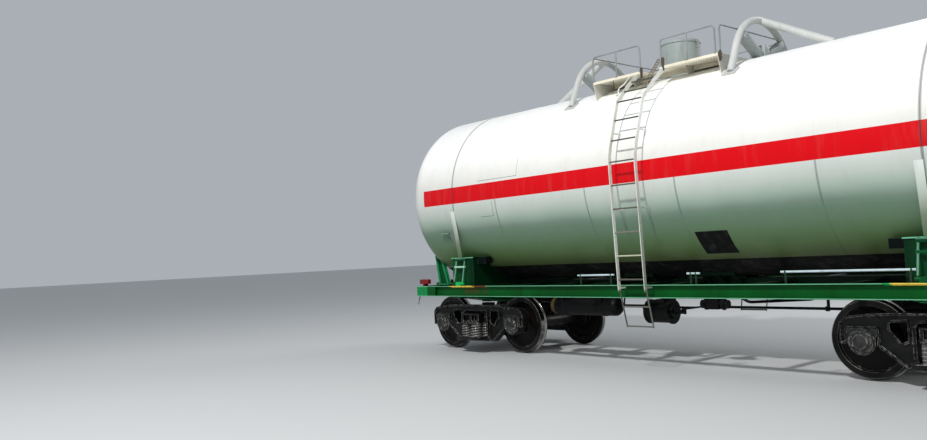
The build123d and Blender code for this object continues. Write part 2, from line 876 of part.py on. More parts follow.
lid_hinge = (-hood_radius - 24, 0, hood_top - 20)
with BuildPart() as hood_lid:
    with BuildSketch(Plane.XY.offset(hood_top - 24)):
        Circle(hood_radius + 10)
        Circle(hood_radius + 6, mode=Mode.SUBTRACT)
    extrude(amount=30)
    with BuildSketch(Plane.XY.offset(hood_top + 6)):
        Circle(hood_radius + 10)
    extrude(amount=6)
    bar((lid_hinge[0], -60, lid_hinge[2]), (lid_hinge[0], 60, lid_hinge[2]), 12)
    block(
        (lid_hinge[0], -50, lid_hinge[2] - 8),
        (-hood_radius - 8, 50, lid_hinge[2] + 10),
    )
    block((hood_radius + 8, -25, hood_top - 84), (hood_radius + 14, 25, hood_top + 12))
keep(hood_lid, "hood_lid")

# Manway cover and valves under the hood
with BuildPart() as manway_cover:
    bar((0, 0, 4340), (0, 0, 4400), 250)
    bar((0, 0, 4400), (0, 0, 4430), 265)
    add(tank.part, mode=Mode.SUBTRACT)
keep(manway_cover, "manway_cover")

valve_places = [(-150, -100), (150, -100), (0, 150)]
# Steps of one valve: start height, end height, radius
valve_steps = [(0, 18, 75), (18, 90, 40), (90, 150, 55), (150, 175, 68), (175, 255, 16), (255, 267, 60)]
with BuildPart() as tank_valves:
    for x, y in valve_places:
        for start_z, end_z, radius in valve_steps:
            bar((x, y, 4430 + start_z), (x, y, 4430 + end_z), radius)
keep(tank_valves, "tank_valves")

# Corner steps with handrails at two opposite corners
with BuildPart() as corner_steps:
    for end, side in ((1, -1), (-1, 1)):
        x = end * (frame_half_length + 24)
        outer_y = side * 1490
        inner_y = side * 1170
        bar((x, outer_y, 590), (x, outer_y, 2080), 16)
        bar((x, inner_y, 590), (x, inner_y, 1250), 16)
        bar((x, inner_y, 1240), (x, outer_y, 1750), 12)
        for z in (600, 880):
            block((x - 22, inner_y, z - 10), (x + 22, outer_y, z + 10))
        for y in (outer_y, inner_y):
            for z in (1060, 1180):
                block((end * frame_half_length, y - 12, z - 12), (x, y + 12, z + 12))
keep(corner_steps, "corner_steps")

# Long thin pipe and short handles along the top of the side sills
handle_runs = ((2200, 3768), (850, 1050), (-1100, -400))
handle_z = 1360.0
handle_y = 1440.0
with BuildPart() as sill_pipes:
    for side in (-1, 1):
        y = side * handle_y
        for start_x, end_x in handle_runs:
            bar((start_x, y, handle_z), (end_x, y, handle_z), 14)
            for x in (start_x + 60, end_x - 60):
                block((x - 15, y - 6, sill_top), (x + 15, y + 6, handle_z))
keep(sill_pipes, "sill_pipes")

# Bogie parts, each made once about the middle of a bogie and placed twice.
# Cast side frame: right half of its outline as (x from the middle, z), then the
# windows. Pockets along every member leave a raised rim on both faces.
journal_jaw_top = 655.0
hanger_x = 372.0
hanger_y = 835.0
hanger_z = 762.0
spring_seat_z = 280.0
spring_top_z = 530.0
frame_thickness = 150.0
frame_rim = 22.0
pocket_depth = 34.0
side_frame_half = [
    (560, 845),
    (900, 826),
    (1110, 798),
    (1190, 720),
    (1190, 470),
    (1105, 470),
    (1105, journal_jaw_top),
    (745, journal_jaw_top),
    (745, 455),
    (430, 205),
]
seat_thickness = 46.0
window_bottom = spring_seat_z - seat_thickness + 8
middle_window = [(-300, window_bottom), (300, window_bottom), (300, 735), (-300, 735)]
side_window = [(400, 750), (600, 738), (600, 660), (475, 500), (400, 530)]
with BuildPart() as side_frame:
    with BuildSketch(Plane.XZ) as frame_shape:
        with BuildLine():
            Polyline(
                *side_frame_half, *reversed(mirrored(side_frame_half, -1)), close=True
            )
        make_face()
        fillet(frame_shape.vertices(), radius=20)
        with BuildSketch(Plane.XY, mode=Mode.SUBTRACT) as windows:
            for window in (middle_window, side_window, mirrored(side_window, -1)):
                with BuildLine():
                    Polyline(*window, close=True)
                make_face()
            fillet(windows.vertices(), radius=26)
    extrude(amount=frame_thickness / 2, both=True)
    for face in (-1, 1):
        pocket_floor = face * (frame_thickness / 2 - pocket_depth)
        with BuildSketch(Plane.XZ.offset(pocket_floor)) as pocket:
            add(frame_shape.sketch.moved(Location((0, pocket_floor, 0))))
            offset(amount=-frame_rim, mode=Mode.REPLACE)
        extrude(pocket.sketch, amount=face * pocket_depth, mode=Mode.SUBTRACT)
    with BuildSketch(Plane.XY.offset(spring_seat_z - seat_thickness)) as seat:
        RectangleRounded(640, 600, 60)
    extrude(seat.sketch, amount=seat_thickness)
    with BuildSketch(Plane.XY.offset(spring_seat_z)) as seat_lip:
        RectangleRounded(640, 600, 60)
        offset(amount=-14, mode=Mode.SUBTRACT)
    extrude(seat_lip.sketch, amount=22)
    for hand in (-1, 1):
        for guide_y in (-92, 92):
            block(
                (hand * 300, guide_y - 17, 330),
                (hand * 340, guide_y + 17, 700),
            )
        block(
            (hand * (hanger_x - 22), 0, hanger_z - 18),
            (hand * (hanger_x + 22), hanger_y + 18 - journal_y, hanger_z + 20),
        )

# Coil spring drawn as stacked turns
spring_radius = 95.0
spring_turns = 5
spring_height = spring_top_z - spring_seat_z
turn_height = spring_height / spring_turns
spring_profile = [(0, 0)]
for turn in range(spring_turns):
    low = turn * turn_height
    spring_profile += [
        (spring_radius - 18, low),
        (spring_radius, low + 0.3 * turn_height),
        (spring_radius, low + 0.7 * turn_height),
    ]
spring_profile += [(spring_radius - 18, spring_height), (0, spring_height)]
with BuildPart() as spring:
    with BuildSketch(Plane.XZ):
        with BuildLine():
            Polyline(*spring_profile, close=True)
        make_face()
    revolve(axis=Axis.Z)
spring_places = [
    (-195, 0), (0, 0), (195, 0), (-125, -182), (125, -182), (-125, 182), (125, 182)
]

# Bogie bolster: a fish-bellied beam with openings, side bearers, centre bowl and
# the friction wedges at its ends
bolster_end_y = 1228.0
bolster_half = [
    (bolster_end_y, spring_top_z),
    (bolster_end_y, 705),
    (860, 735),
    (520, 800),
]
with BuildPart() as bogie_bolster:
    beam = bolster_half + list(reversed(mirrored(bolster_half, -1)))
    across(beam, -225, 450, rounding=25)
    belly = [(-780, 560), (780, 560), (460, 455), (-460, 455)]
    across(belly, -200, 400, rounding=25)
    for hand in (-1, 1):
        for y, radius in ((330, 62), (620, 58)):
            bar((-300, hand * y, 630), (300, hand * y, 630), radius, mode=Mode.SUBTRACT)
        block(
            (-110, hand * (side_bearer_y - 60), 720),
            (110, hand * (side_bearer_y + 60), 872),
        )
        end_y = hand * bolster_end_y
        block((-200, hand * 1190, spring_top_z), (200, hand * 1300, spring_top_z + 18))
        for pocket_x in (-110, 110):
            block(
                (pocket_x - 75, end_y, spring_top_z + 40),
                (pocket_x + 75, end_y - hand * 70, 680),
                mode=Mode.SUBTRACT,
            )
        for side in (-1, 1):
            wedge = [
                (side * 220, spring_top_z),
                (side * 296, spring_top_z),
                (side * 296, 690),
                (side * 250, 700),
                (side * 220, 640),
            ]
            along(wedge, hand * journal_y, 110)
    bar((0, 0, 790), (0, 0, centre_plate_z + 20), 190)
    bar((0, 0, centre_plate_z - 2), (0, 0, centre_plate_z + 40), 156, mode=Mode.SUBTRACT)

# Axle box: round-bottomed housing with eared top, ringed cover and bore
housing_half = [(165, 0), (165, 60), (176, 72), (176, 125), (150, 148.5)]
with BuildPart() as axle_box:
    with BuildSketch(Plane.XZ.offset(-938 + journal_y)) as housing:
        with BuildLine():
            Polyline(*housing_half, *reversed(mirrored(housing_half, -1)))
            ThreePointArc((-165, 0), (0, -165), (165, 0))
        make_face()
    extrude(housing.sketch, amount=-160)
    bar((0, -90, 0), (0, 110, 0), 145)
    bar((0, 110, 0), (0, 128, 0), 128)
    bar((0, 128, 0), (0, 140, 0), 84)
    bar((0, -118, 0), (0, 106, 0), 75, mode=Mode.SUBTRACT)

# Brake rigging of one bogie: shoes on trussed beams, hangers, levers and link
shoe_y = back_to_back / 2 + 87
shoe_gap = 10.0
shoe_thickness = 58.0
beam_z = 450.0
beam_x = wheelbase / 2 - tread_radius - shoe_gap - shoe_thickness - 24
with BuildPart() as brake_rigging:
    for hand in (-1, 1):
        wheel_x = hand * wheelbase / 2
        near_x = hand * beam_x
        bar((near_x, -850, beam_z), (near_x, 850, beam_z), 28)
        for side in (-1, 1):
            with BuildSketch(Plane.XZ.offset(-side * shoe_y)) as shoe:
                with Locations((wheel_x, axle_z)):
                    Circle(tread_radius + shoe_gap + shoe_thickness)
                    Circle(tread_radius + shoe_gap, mode=Mode.SUBTRACT)
                with Locations((near_x + hand * 60, beam_z + 10)):
                    Rectangle(160, 330, mode=Mode.INTERSECT)
            extrude(shoe.sketch, amount=40, both=True)
            bar((near_x, side * 640, beam_z), (hand * (beam_x - 125), 0, beam_z - 12), 17)
            block(
                (near_x - 34, side * 762, beam_z - 60),
                (near_x + 34, side * 846, beam_z + 60),
            )
            hanger_top = (hand * hanger_x, side * hanger_y, hanger_z)
            pin_end = (hand * hanger_x, side * (hanger_y + 17), hanger_z)
            bar((near_x, side * hanger_y, beam_z), hanger_top, 14)
            bar((hand * hanger_x, side * (hanger_y - 17), hanger_z), pin_end, 17)
        lever = [
            (hand * (beam_x - 15), beam_z - 90),
            (hand * (beam_x + 30), beam_z - 90),
            (hand * 285, 770),
            (hand * 250, 770),
        ]
        along(lever, 0, 26)
    link_z = beam_z - 64
    bar((-beam_x, 0, link_z), (beam_x, 0, link_z), 16)

for number, x in bogie_x.items():
    with BuildPart() as side_frames:
        for side, turn in ((-1, 180), (1, 0)):
            with Locations(Location((x, side * journal_y, 0), (0, 0, turn))):
                add(side_frame.part)
    keep(side_frames, "side_frames_" + str(number))

    with BuildPart() as springs:
        for side in (-1, 1):
            with Locations(
                *[(x + dx, side * journal_y + dy, spring_seat_z) for dx, dy in spring_places]
            ):
                add(spring.part)
    keep(springs, "springs_" + str(number))

    with BuildPart() as bolster:
        with Locations((x, 0, 0)):
            add(bogie_bolster.part)
    keep(bolster, "bogie_bolster_" + str(number))

    with BuildPart() as axle_boxes:
        for box_x in (x - wheelbase / 2, x + wheelbase / 2):
            for side, turn in ((-1, 180), (1, 0)):
                with Locations(Location((box_x, side * journal_y, axle_z), (0, 0, turn))):
                    add(axle_box.part)
    keep(axle_boxes, "axle_boxes_" + str(number))

    with BuildPart() as rigging:
        with Locations((x, 0, 0)):
            add(brake_rigging.part)
    keep(rigging, "brake_rigging_" + str(number))

# Wheelsets: rolled wheels with a dished web and a coned tread, pressed on the axle
wheel_seat_radius = 97.0
inner_face = back_to_back / 2
outer_face = inner_face + rim_width
rim_inner_radius = 400.0
with BuildPart() as wheel:
    with BuildSketch(Plane.YZ):
        with BuildLine():
            Polyline(
                (inner_face + 70, 150),
                (inner_face - 20, 138),
                (inner_face - 20, wheel_seat_radius),
                (outer_face + 40, wheel_seat_radius),
                (outer_face + 40, 135),
                (inner_face + 95, 150),
            )
            ThreePointArc(
                (inner_face + 95, 150), (inner_face + 70, 265), (inner_face + 92, 386)
            )
            Polyline(
                (inner_face + 92, 386),
                (outer_face, rim_inner_radius),
                (outer_face, tread_radius - 8),
                (outer_face - 6, tread_radius - 2),
                (inner_face + 50, tread_radius + 1),
                (inner_face + 36, tread_radius + 10),
                (inner_face + 27, tread_radius + flange_height - 5),
            )
            ThreePointArc(
                (inner_face + 27, tread_radius + flange_height - 5),
                (inner_face + 18, tread_radius + flange_height),
                (inner_face + 9, tread_radius + flange_height - 5),
            )
            Polyline(
                (inner_face + 9, tread_radius + flange_height - 5),
                (inner_face, tread_radius + 8),
                (inner_face, rim_inner_radius),
                (inner_face + 64, 386),
            )
            ThreePointArc(
                (inner_face + 64, 386), (inner_face + 44, 265), (inner_face + 70, 150)
            )
        make_face()
    revolve(axis=Axis.Y)

axle_steps = [
    (0, 82),
    (inner_face - 60, 82),
    (inner_face - 24, wheel_seat_radius),
    (outer_face + 44, wheel_seat_radius),
    (outer_face + 50, 82),
    (905, 82),
    (925, 65),
    (1110, 65),
]
with BuildPart() as axle:
    with BuildSketch(Plane.YZ):
        with BuildLine():
            Polyline((0, 0), *axle_steps, (1110, 0), close=True)
        make_face()
    revolve(axis=Axis.Y)
    mirror(about=Plane.XZ)

for number, x in axle_x.items():
    with BuildPart() as wheels:
        for turn in (0, 180):
            with Locations(Location((x, 0, axle_z), (0, 0, turn))):
                add(wheel.part)
    keep(wheels, "wheels_" + str(number))

    with BuildPart() as wheel_axle:
        with Locations((x, 0, axle_z)):
            add(axle.part)
    keep(wheel_axle, "axle_" + str(number))

os.makedirs("parts", exist_ok=True)
for piece in finished:
    export_step(piece, "parts/" + piece.label + ".step")
    print(piece.label, len(piece.solids()))
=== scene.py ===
import bmesh
import bpy
import json
from math import atan2, cos, pi, radians, sin, sqrt
from mathutils import Matrix, Vector


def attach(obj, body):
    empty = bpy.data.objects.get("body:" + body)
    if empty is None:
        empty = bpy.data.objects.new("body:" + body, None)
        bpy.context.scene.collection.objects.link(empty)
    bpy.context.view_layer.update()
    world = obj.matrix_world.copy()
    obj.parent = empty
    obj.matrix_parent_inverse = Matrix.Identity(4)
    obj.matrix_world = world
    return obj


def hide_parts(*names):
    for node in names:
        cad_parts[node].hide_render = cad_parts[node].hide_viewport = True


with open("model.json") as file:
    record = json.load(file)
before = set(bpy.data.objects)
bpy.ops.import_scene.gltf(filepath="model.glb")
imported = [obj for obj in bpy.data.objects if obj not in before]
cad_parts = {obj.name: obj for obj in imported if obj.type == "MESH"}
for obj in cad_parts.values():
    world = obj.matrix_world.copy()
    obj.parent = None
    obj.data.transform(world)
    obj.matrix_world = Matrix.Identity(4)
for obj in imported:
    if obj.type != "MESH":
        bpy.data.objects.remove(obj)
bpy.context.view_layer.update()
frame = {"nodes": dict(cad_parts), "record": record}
nodes = frame["nodes"]
print("frame loaded:", len(nodes), "nodes")

# driving places of the car, in metres, as its nodes have them
car = {
    "pivotX": 3.9, "axleReach": 0.925, "axleZ": 0.5065,
    "tankZ": 2.813, "seamX": (0.8, 2.77),
    "deckTop": 4.375, "ladderX": 0.09, "archX": (-1.53, 1.36), "pipeY": 1.44, "pipeZ": 1.36,
}
bogies = ((1, -car["pivotX"]), (2, car["pivotX"]))  # number and place along the car
sides = ends = (-1, 1)


# helpers for material nodes
def addNode(tree, kind, inputs=None, **settings):
    made = tree.nodes.new("ShaderNode" + kind)
    for key, value in settings.items():
        setattr(made, key, value)
    for key, value in (inputs or {}).items():
        if isinstance(value, bpy.types.NodeSocket):
            tree.links.new(value, made.inputs[key])
        else:
            made.inputs[key].default_value = value
    return made


def ramp(tree, value, low, high, top=1.0):
    # smooth rise from 0 to top; low above high makes it fall
    lows, highs, start, end = (low, high, 0.0, top) if low < high else (high, low, top, 0.0)
    made = addNode(tree, "MapRange", {"Value": value, "From Min": lows, "From Max": highs,
                                      "To Min": start, "To Max": end})
    made.interpolation_type = "SMOOTHSTEP"
    return made.outputs["Result"]


def calc(tree, operation, first, second=0.0):
    return addNode(tree, "Math", {0: first, 1: second}, operation=operation).outputs[0]


def times(tree, *values):
    # the product of masks and amounts
    product = values[0]
    for value in values[1:]:
        product = calc(tree, "MULTIPLY", product, value)
    return product


def plus(tree, *values):
    total = values[0]
    for value in values[1:]:
        total = calc(tree, "ADD", total, value)
    return total


def unsigned(tree, value):
    return calc(tree, "ABSOLUTE", value)


def distance(tree, first, second):
    return calc(tree, "SQRT", plus(tree, times(tree, first, first), times(tree, second, second)))


def mixColour(tree, amount, first, second, blend="MIX"):
    made = addNode(tree, "Mix", {0: amount, 6: first, 7: second}, data_type="RGBA", blend_type=blend)
    return made.outputs[2]


def paintOver(tree, colour, paint, *masks):
    # the paint covers the colour where all the masks are on
    return mixColour(tree, times(tree, *masks), colour, paint)


def noise(tree, scale, detail=4.0, roughness=0.55, stretch=(1, 1, 1)):
    coords = addNode(tree, "TexCoord").outputs["Object"]
    mapped = addNode(tree, "Mapping", {"Vector": coords, "Scale": stretch}).outputs[0]
    return addNode(tree, "TexNoise", {"Vector": mapped, "Scale": scale, "Detail": detail,
                                      "Roughness": roughness}).outputs[0]


def places(tree):
    coords = addNode(tree, "TexCoord").outputs["Object"]
    split = addNode(tree, "SeparateXYZ", {0: coords})
    return split.outputs[0], split.outputs[1], split.outputs[2]


def band(tree, value, low, high, soft=0.002):
    rise = ramp(tree, value, low - soft, low + soft)
    return times(tree, rise, ramp(tree, value, high + soft, high - soft))


def patch(tree, first, firstRange, second, secondRange, soft=0.002):
    # a rectangle in two of the coordinates
    return times(tree, band(tree, first, *firstRange, soft), band(tree, second, *secondRange, soft))


def gradient(tree, value, rows):
    # colours at heights, blended between them
    low, high = rows[0][0], rows[-1][0]
    share = addNode(tree, "MapRange", {"Value": value, "From Min": low, "From Max": high})
    made = addNode(tree, "ValToRGB", {0: share.outputs["Result"]})
    stops = made.color_ramp.elements
    for index, (place, colour) in enumerate(rows):
        stop = stops[index] if index < 2 else stops.new(1.0)
        stop.position = (place - low) / (high - low)
        stop.color = colour
    return made.outputs["Color"]


def rgb(red, green, blue):
    # screen values 0-255 to a linear colour
    line = [c / 255 for c in (red, green, blue)]
    return tuple(c / 12.92 if c < 0.04045 else ((c + 0.055) / 1.055) ** 2.4 for c in line) + (1.0,)


plainFinish = {
    "colour": rgb(200, 200, 200), "shade": rgb(180, 180, 180), "toneScale": 1.3,
    "grime": rgb(70, 64, 52), "grimeAmount": 0.25, "streak": (7, 7, 0.9),
    "dust": rgb(150, 138, 112), "dustAmount": 0.25,
    "edge": rgb(200, 200, 200), "edgeAmount": 0.0, "edgeWidth": 0.004, "edgeScale": 6.0, "edgeFrom": 0.32,
    "rust": rgb(104, 52, 24), "rustAmount": 0.3, "rustFrom": 0.66, "rustScale": 9.0,
    "metallic": 0.0, "roughness": 0.45, "roughSpread": 0.2, "coat": 0.0, "specular": 0.4,
    "grain": 60.0, "bump": 0.12, "marks": None,
}
# what all the finishes share: where each pattern starts and ends, and how it changes the surface
wear = {
    "tone": (0.35, 0.65), "runs": (0.48, 0.78), "runScale": 1.6,
    "runNoise": (6, 0.6), "rustNoise": (9, 0.68),  # detail and roughness
    "upward": (0.3, 0.95), "dustPatches": (0.3, 0.6), "dustScale": 5.0, "dustRough": 0.4,
    "edgeFacing": (0.985, 0.86), "edgeBlend": 0.2,
    "rustBlend": 0.06, "rustRough": 0.35, "rustHeight": 0.6,
    "roughScale": 11.0, "bumpDistance": 0.003, "coatRoughness": 0.12,
}


def wornMetal(name, **changes):
    s = dict(plainFinish, **changes)
    made = bpy.data.materials.new(name)
    made.use_nodes = True
    tree = made.node_tree
    shader = tree.nodes["Principled BSDF"]
    tone = ramp(tree, noise(tree, s["toneScale"], 3), *wear["tone"])
    colour = mixColour(tree, tone, s["colour"], s["shade"])
    extra = {}
    if s["marks"]:
        colour, extra = s["marks"](tree, colour)

    # grime runs down, dust lies on top
    runs = noise(tree, wear["runScale"], *wear["runNoise"], s["streak"])
    runs = ramp(tree, runs, *wear["runs"], s["grimeAmount"])
    colour = mixColour(tree, runs, colour, s["grime"])
    geometry = addNode(tree, "NewGeometry")
    upward = addNode(tree, "SeparateXYZ", {0: geometry.outputs["Normal"]}).outputs[2]
    settled = times(tree, ramp(tree, upward, *wear["upward"], s["dustAmount"]),
                    ramp(tree, noise(tree, wear["dustScale"], 5), *wear["dustPatches"]))
    colour = mixColour(tree, settled, colour, s["dust"])

    # rounded edges are painted lighter: partly worn paint, partly painted highlight
    rounded = addNode(tree, "Bevel", {"Radius": s["edgeWidth"]}, samples=4).outputs[0]
    facing = addNode(tree, "VectorMath", {0: rounded, 1: geometry.outputs["Normal"]},
                     operation="DOT_PRODUCT").outputs["Value"]
    broken = ramp(tree, noise(tree, s["edgeScale"], 4), s["edgeFrom"], s["edgeFrom"] + wear["edgeBlend"])
    edges = times(tree, ramp(tree, facing, *wear["edgeFacing"], s["edgeAmount"]), broken)
    colour = mixColour(tree, edges, colour, s["edge"])

    # rust in spots, rougher and a little raised; on the bogie castings the spots are light grey painted
    # highlight speckles
    spots = ramp(tree, noise(tree, s["rustScale"], *wear["rustNoise"]), s["rustFrom"],
                 s["rustFrom"] + wear["rustBlend"], s["rustAmount"])
    colour = mixColour(tree, spots, colour, s["rust"])
    rough = plus(tree, times(tree, noise(tree, wear["roughScale"], 5), s["roughSpread"]),
                 s["roughness"] - s["roughSpread"] / 2, times(tree, spots, wear["rustRough"]),
                 extra.get("rough", 0.0), times(tree, settled, wear["dustRough"]))
    height = plus(tree, noise(tree, s["grain"], 4), times(tree, spots, wear["rustHeight"]))
    bump = addNode(tree, "Bump", {"Height": height, "Strength": s["bump"],
                                  "Distance": wear["bumpDistance"], "Normal": rounded})
    tree.links.new(colour, shader.inputs["Base Color"])
    tree.links.new(rough, shader.inputs["Roughness"])
    tree.links.new(bump.outputs[0], shader.inputs["Normal"])
    shader.inputs["Metallic"].default_value = s["metallic"]
    if "metallic" in extra:
        tree.links.new(extra["metallic"], shader.inputs["Metallic"])
    shader.inputs["Specular IOR Level"].default_value = s["specular"]
    shader.inputs["Coat Weight"].default_value = s["coat"]
    shader.inputs["Coat Roughness"].default_value = wear["coatRoughness"]
    return made


# the tank: white with a red stripe, teal discs on the heads, painted shade and a painted green reflection
# toward the belly, and black below
tankLook = {
    # painted shade and painted green reflection: colours by height, darker and greener toward the belly
    "shading": [(1.52, rgb(84, 98, 58)), (1.72, rgb(108, 138, 88)), (2.0, rgb(111, 141, 113)),
                (2.12, rgb(114, 142, 120)), (2.2, rgb(126, 149, 132)), (2.3, rgb(157, 177, 162)),
                (2.4, rgb(180, 195, 184)), (2.5, rgb(197, 206, 198)), (2.7, rgb(216, 220, 216)),
                (3.0, rgb(230, 229, 223)), (3.25, rgb(244, 243, 239)), (3.5, rgb(252, 252, 250))],
    "uneven": 0.14, "unevenScale": 0.9, "shadingShare": 0.5,
    "seamHalf": 0.012, "seamSoft": 0.01, "seamFrom": (2.05, 2.3, 0.5), "seamTo": (2.9, 2.66),
    "seamGrey": rgb(74, 84, 76),
    "stripe": (2.678, 2.968), "stripeEnd": 4.675, "red": rgb(212, 0, 14),
    "disc": (1.214, 1.206), "discX": (4.85, 4.86), "teal": rgb(16, 84, 74),
    "wobble": 0.02, "wobbleScale": 5.0,
    # thin grey lines on the near side, as x and z ranges
    "outlines": [((-2.243, -2.237), (3.008, 3.308)), ((-3.2, -2.24), (3.014, 3.022)),
                 ((-2.86, -2.852), (2.398, 2.66)), ((-3.185, -2.86), (2.396, 2.404))],
    "outlineAmount": 0.85, "outlineGrey": rgb(74, 78, 76), "near": (-0.1, -0.2),
    "strapLines": ((-3.868, -3.846), (3.934, 3.966)), "strapFrom": (2.3, 2.5, 0.5),
    "strapGrey": rgb(62, 66, 66),
    # painted light on the left head's edge
    "rimX": (-4.98, -5.3, 0.8), "rim": (1.22, 1.26), "rimLight": rgb(226, 233, 229),
    "blank": ((0.89, 1.39), (1.61, 1.92)), "blankBlack": rgb(8, 9, 9),
    "dark": (1.533, 1.527), "darkBlack": rgb(3, 4, 4), "matt": 0.5,
}


def tankMarks(tree, colour):
    s = tankLook
    x, y, z = places(tree)
    along = unsigned(tree, x)
    # painted shade and painted green reflection by height, a little uneven
    height = plus(tree, z, times(tree, noise(tree, s["unevenScale"], 3), s["uneven"]), -s["uneven"] / 2)
    colour = mixColour(tree, s["shadingShare"], gradient(tree, height, s["shading"]), colour, "MULTIPLY")
    for seam in car["seamX"]:
        line = band(tree, along, seam - s["seamHalf"], seam + s["seamHalf"], s["seamSoft"])
        colour = paintOver(tree, colour, s["seamGrey"], line, ramp(tree, z, *s["seamFrom"]),
                           ramp(tree, z, *s["seamTo"]))
    stripe = patch(tree, along, (-1.0, s["stripeEnd"]), z, s["stripe"])
    colour = paintOver(tree, colour, s["red"], stripe)
    fromAxis = distance(tree, y, calc(tree, "SUBTRACT", z, car["tankZ"]))
    uneven = plus(tree, fromAxis, times(tree, noise(tree, s["wobbleScale"], 3), s["wobble"]))
    disc = times(tree, ramp(tree, uneven, *s["disc"]), ramp(tree, along, *s["discX"]))
    colour = paintOver(tree, colour, s["teal"], disc)
    near = ramp(tree, y, *s["near"])
    for xRange, zRange in s["outlines"]:
        line = patch(tree, x, xRange, z, zRange)
        colour = paintOver(tree, colour, s["outlineGrey"], line, near, s["outlineAmount"])
    upper = ramp(tree, z, *s["strapFrom"])
    for line in s["strapLines"]:
        colour = paintOver(tree, colour, s["strapGrey"], band(tree, x, *line), upper)
    rim = ramp(tree, x, *s["rimX"])  # painted light: the left head's edge is painted lighter
    colour = paintOver(tree, colour, s["rimLight"], rim, ramp(tree, fromAxis, *s["rim"]))
    blank = times(tree, patch(tree, x, s["blank"][0], z, s["blank"][1]), near)
    colour = paintOver(tree, colour, s["blankBlack"], blank)
    dark = ramp(tree, z, *s["dark"])
    colour = paintOver(tree, colour, s["darkBlack"], dark)
    return colour, {"rough": times(tree, calc(tree, "MAXIMUM", dark, blank), s["matt"])}


saddleLook = {
    # painted shade toward the middle, painted shadow on the end blocks, painted highlight on the top edge
    "inner": (3.84, 3.62, 0.7), "innerGreen": rgb(2, 26, 12),
    "blocks": (3.606, 3.602), "blockGreen": rgb(2, 9, 7), "matt": 0.4,
    "topEdge": (1.699, 1.72), "face": (1.3405, 1.3435), "lit": 0.8, "litGreen": rgb(120, 200, 160),
}


def saddleMarks(tree, colour):
    # painted shade: darker toward the middle of the car; dark end blocks painted near black as painted
    # shadow; a painted highlight on the top edge
    s = saddleLook
    x, y, z = places(tree)
    along = unsigned(tree, x)
    colour = paintOver(tree, colour, s["innerGreen"], ramp(tree, along, *s["inner"]))
    blocks = ramp(tree, along, *s["blocks"])
    colour = paintOver(tree, colour, s["blockGreen"], blocks)
    face = ramp(tree, unsigned(tree, y), *s["face"])
    colour = paintOver(tree, colour, s["litGreen"], band(tree, z, *s["topEdge"]), face, s["lit"])
    return colour, {"rough": times(tree, blocks, s["matt"])}


rodLook = {
    # painted shade on the strap ends, darker toward the bottom
    "strap": [(1.7, rgb(82, 108, 78)), (1.95, rgb(118, 132, 110)), (2.2, rgb(184, 194, 180)),
              (2.5, rgb(224, 230, 224))],
    "strapFrom": (1.71, 1.72), "yoke": (1.655, 1.69), "yokeGreen": rgb(0, 58, 30),
    "cross": (1.535, 1.566), "left": (0.1, -0.1), "pale": rgb(170, 214, 188),
    "anchor": (1.3, 1.29), "green": rgb(0, 74, 34),
    # painted light on the left anchor
    "litX": (-3.93, -3.7), "litGreen": rgb(26, 176, 92),
}


def rodMarks(tree, colour):
    # strap ends with painted shade like the tank's, a dark yoke, a crosspiece that is pale on the left,
    # the anchors, with painted light on the left one
    s = rodLook
    x, y, z = places(tree)
    colour = paintOver(tree, colour, gradient(tree, z, s["strap"]), ramp(tree, z, *s["strapFrom"]))
    colour = paintOver(tree, colour, s["yokeGreen"], band(tree, z, *s["yoke"]))
    cross = band(tree, z, *s["cross"])
    colour = paintOver(tree, colour, s["green"], cross)
    colour = paintOver(tree, colour, s["pale"], cross, ramp(tree, x, *s["left"]))
    anchor = ramp(tree, z, *s["anchor"])
    colour = paintOver(tree, colour, s["green"], anchor)
    return paintOver(tree, colour, s["litGreen"], band(tree, x, *s["litX"]), anchor), {}


# painted shade on the struts' web
strutLook = {"webY": 0.95, "web": (0.0085, 0.0065), "green": rgb(0, 70, 34)}


def strutMarks(tree, colour):
    # painted shade: the web between the light flanges is painted darker
    s = strutLook
    x, y, z = places(tree)
    fromWeb = unsigned(tree, calc(tree, "SUBTRACT", unsigned(tree, y), s["webY"]))
    return paintOver(tree, colour, s["green"], ramp(tree, fromWeb, *s["web"])), {}


pipeLook = {"posts": (1.3465, 1.3455), "green": rgb(2, 40, 18)}


def sillPipeMarks(tree, colour):
    # green posts under the pale pipe
    x, y, z = places(tree)
    return paintOver(tree, colour, pipeLook["green"], ramp(tree, z, *pipeLook["posts"])), {}


sillLook = {
    # painted light on the flush corner plates
    "corner": (4.72, 4.74, 0.8), "cornerGreen": rgb(24, 142, 76),
    "smear": ((-3.74, -3.16), (1.09, 1.2)), "smearSoft": 0.06, "smearPatches": (0.35, 0.6, 0.5),
    "smearScale": 4.0, "smearRust": rgb(84, 44, 22),
    # painted highlight along the lit flange edges
    "face": (1.512, 1.516), "flanges": ((1.028, 1.0405), (1.2025, 1.22)), "flangeSoft": 0.001,
    "lit": 0.8, "litGreen": rgb(120, 196, 158),
    # strips on the top edge, as x from, x to and the colour
    "top": (1.185, 1.25), "stripSoft": 0.012,
    "strips": [(-4.10, -3.48, rgb(246, 216, 92)), (-3.48, -3.14, rgb(122, 66, 40)),
               (3.43, 3.51, rgb(20, 160, 84)), (3.51, 4.30, rgb(246, 216, 92))],
}


def sillMarks(tree, colour):
    s = sillLook
    x, y, z = places(tree)
    # painted light: the corner plates brighter green
    colour = paintOver(tree, colour, s["cornerGreen"], ramp(tree, unsigned(tree, x), *s["corner"]))
    smear = patch(tree, x, s["smear"][0], z, s["smear"][1], s["smearSoft"])
    patches = ramp(tree, noise(tree, s["smearScale"], 4), *s["smearPatches"])
    colour = paintOver(tree, colour, s["smearRust"], smear, patches)
    # painted highlight on the flange edges of the outer face
    face = ramp(tree, unsigned(tree, y), *s["face"])
    for flange in s["flanges"]:
        lit = band(tree, z, *flange, s["flangeSoft"])
        colour = paintOver(tree, colour, s["litGreen"], lit, face, s["lit"])
    top = band(tree, z, *s["top"])
    for low, high, paint in s["strips"]:
        colour = paintOver(tree, colour, paint, band(tree, x, low, high, s["stripSoft"]), top)
    return colour, {}


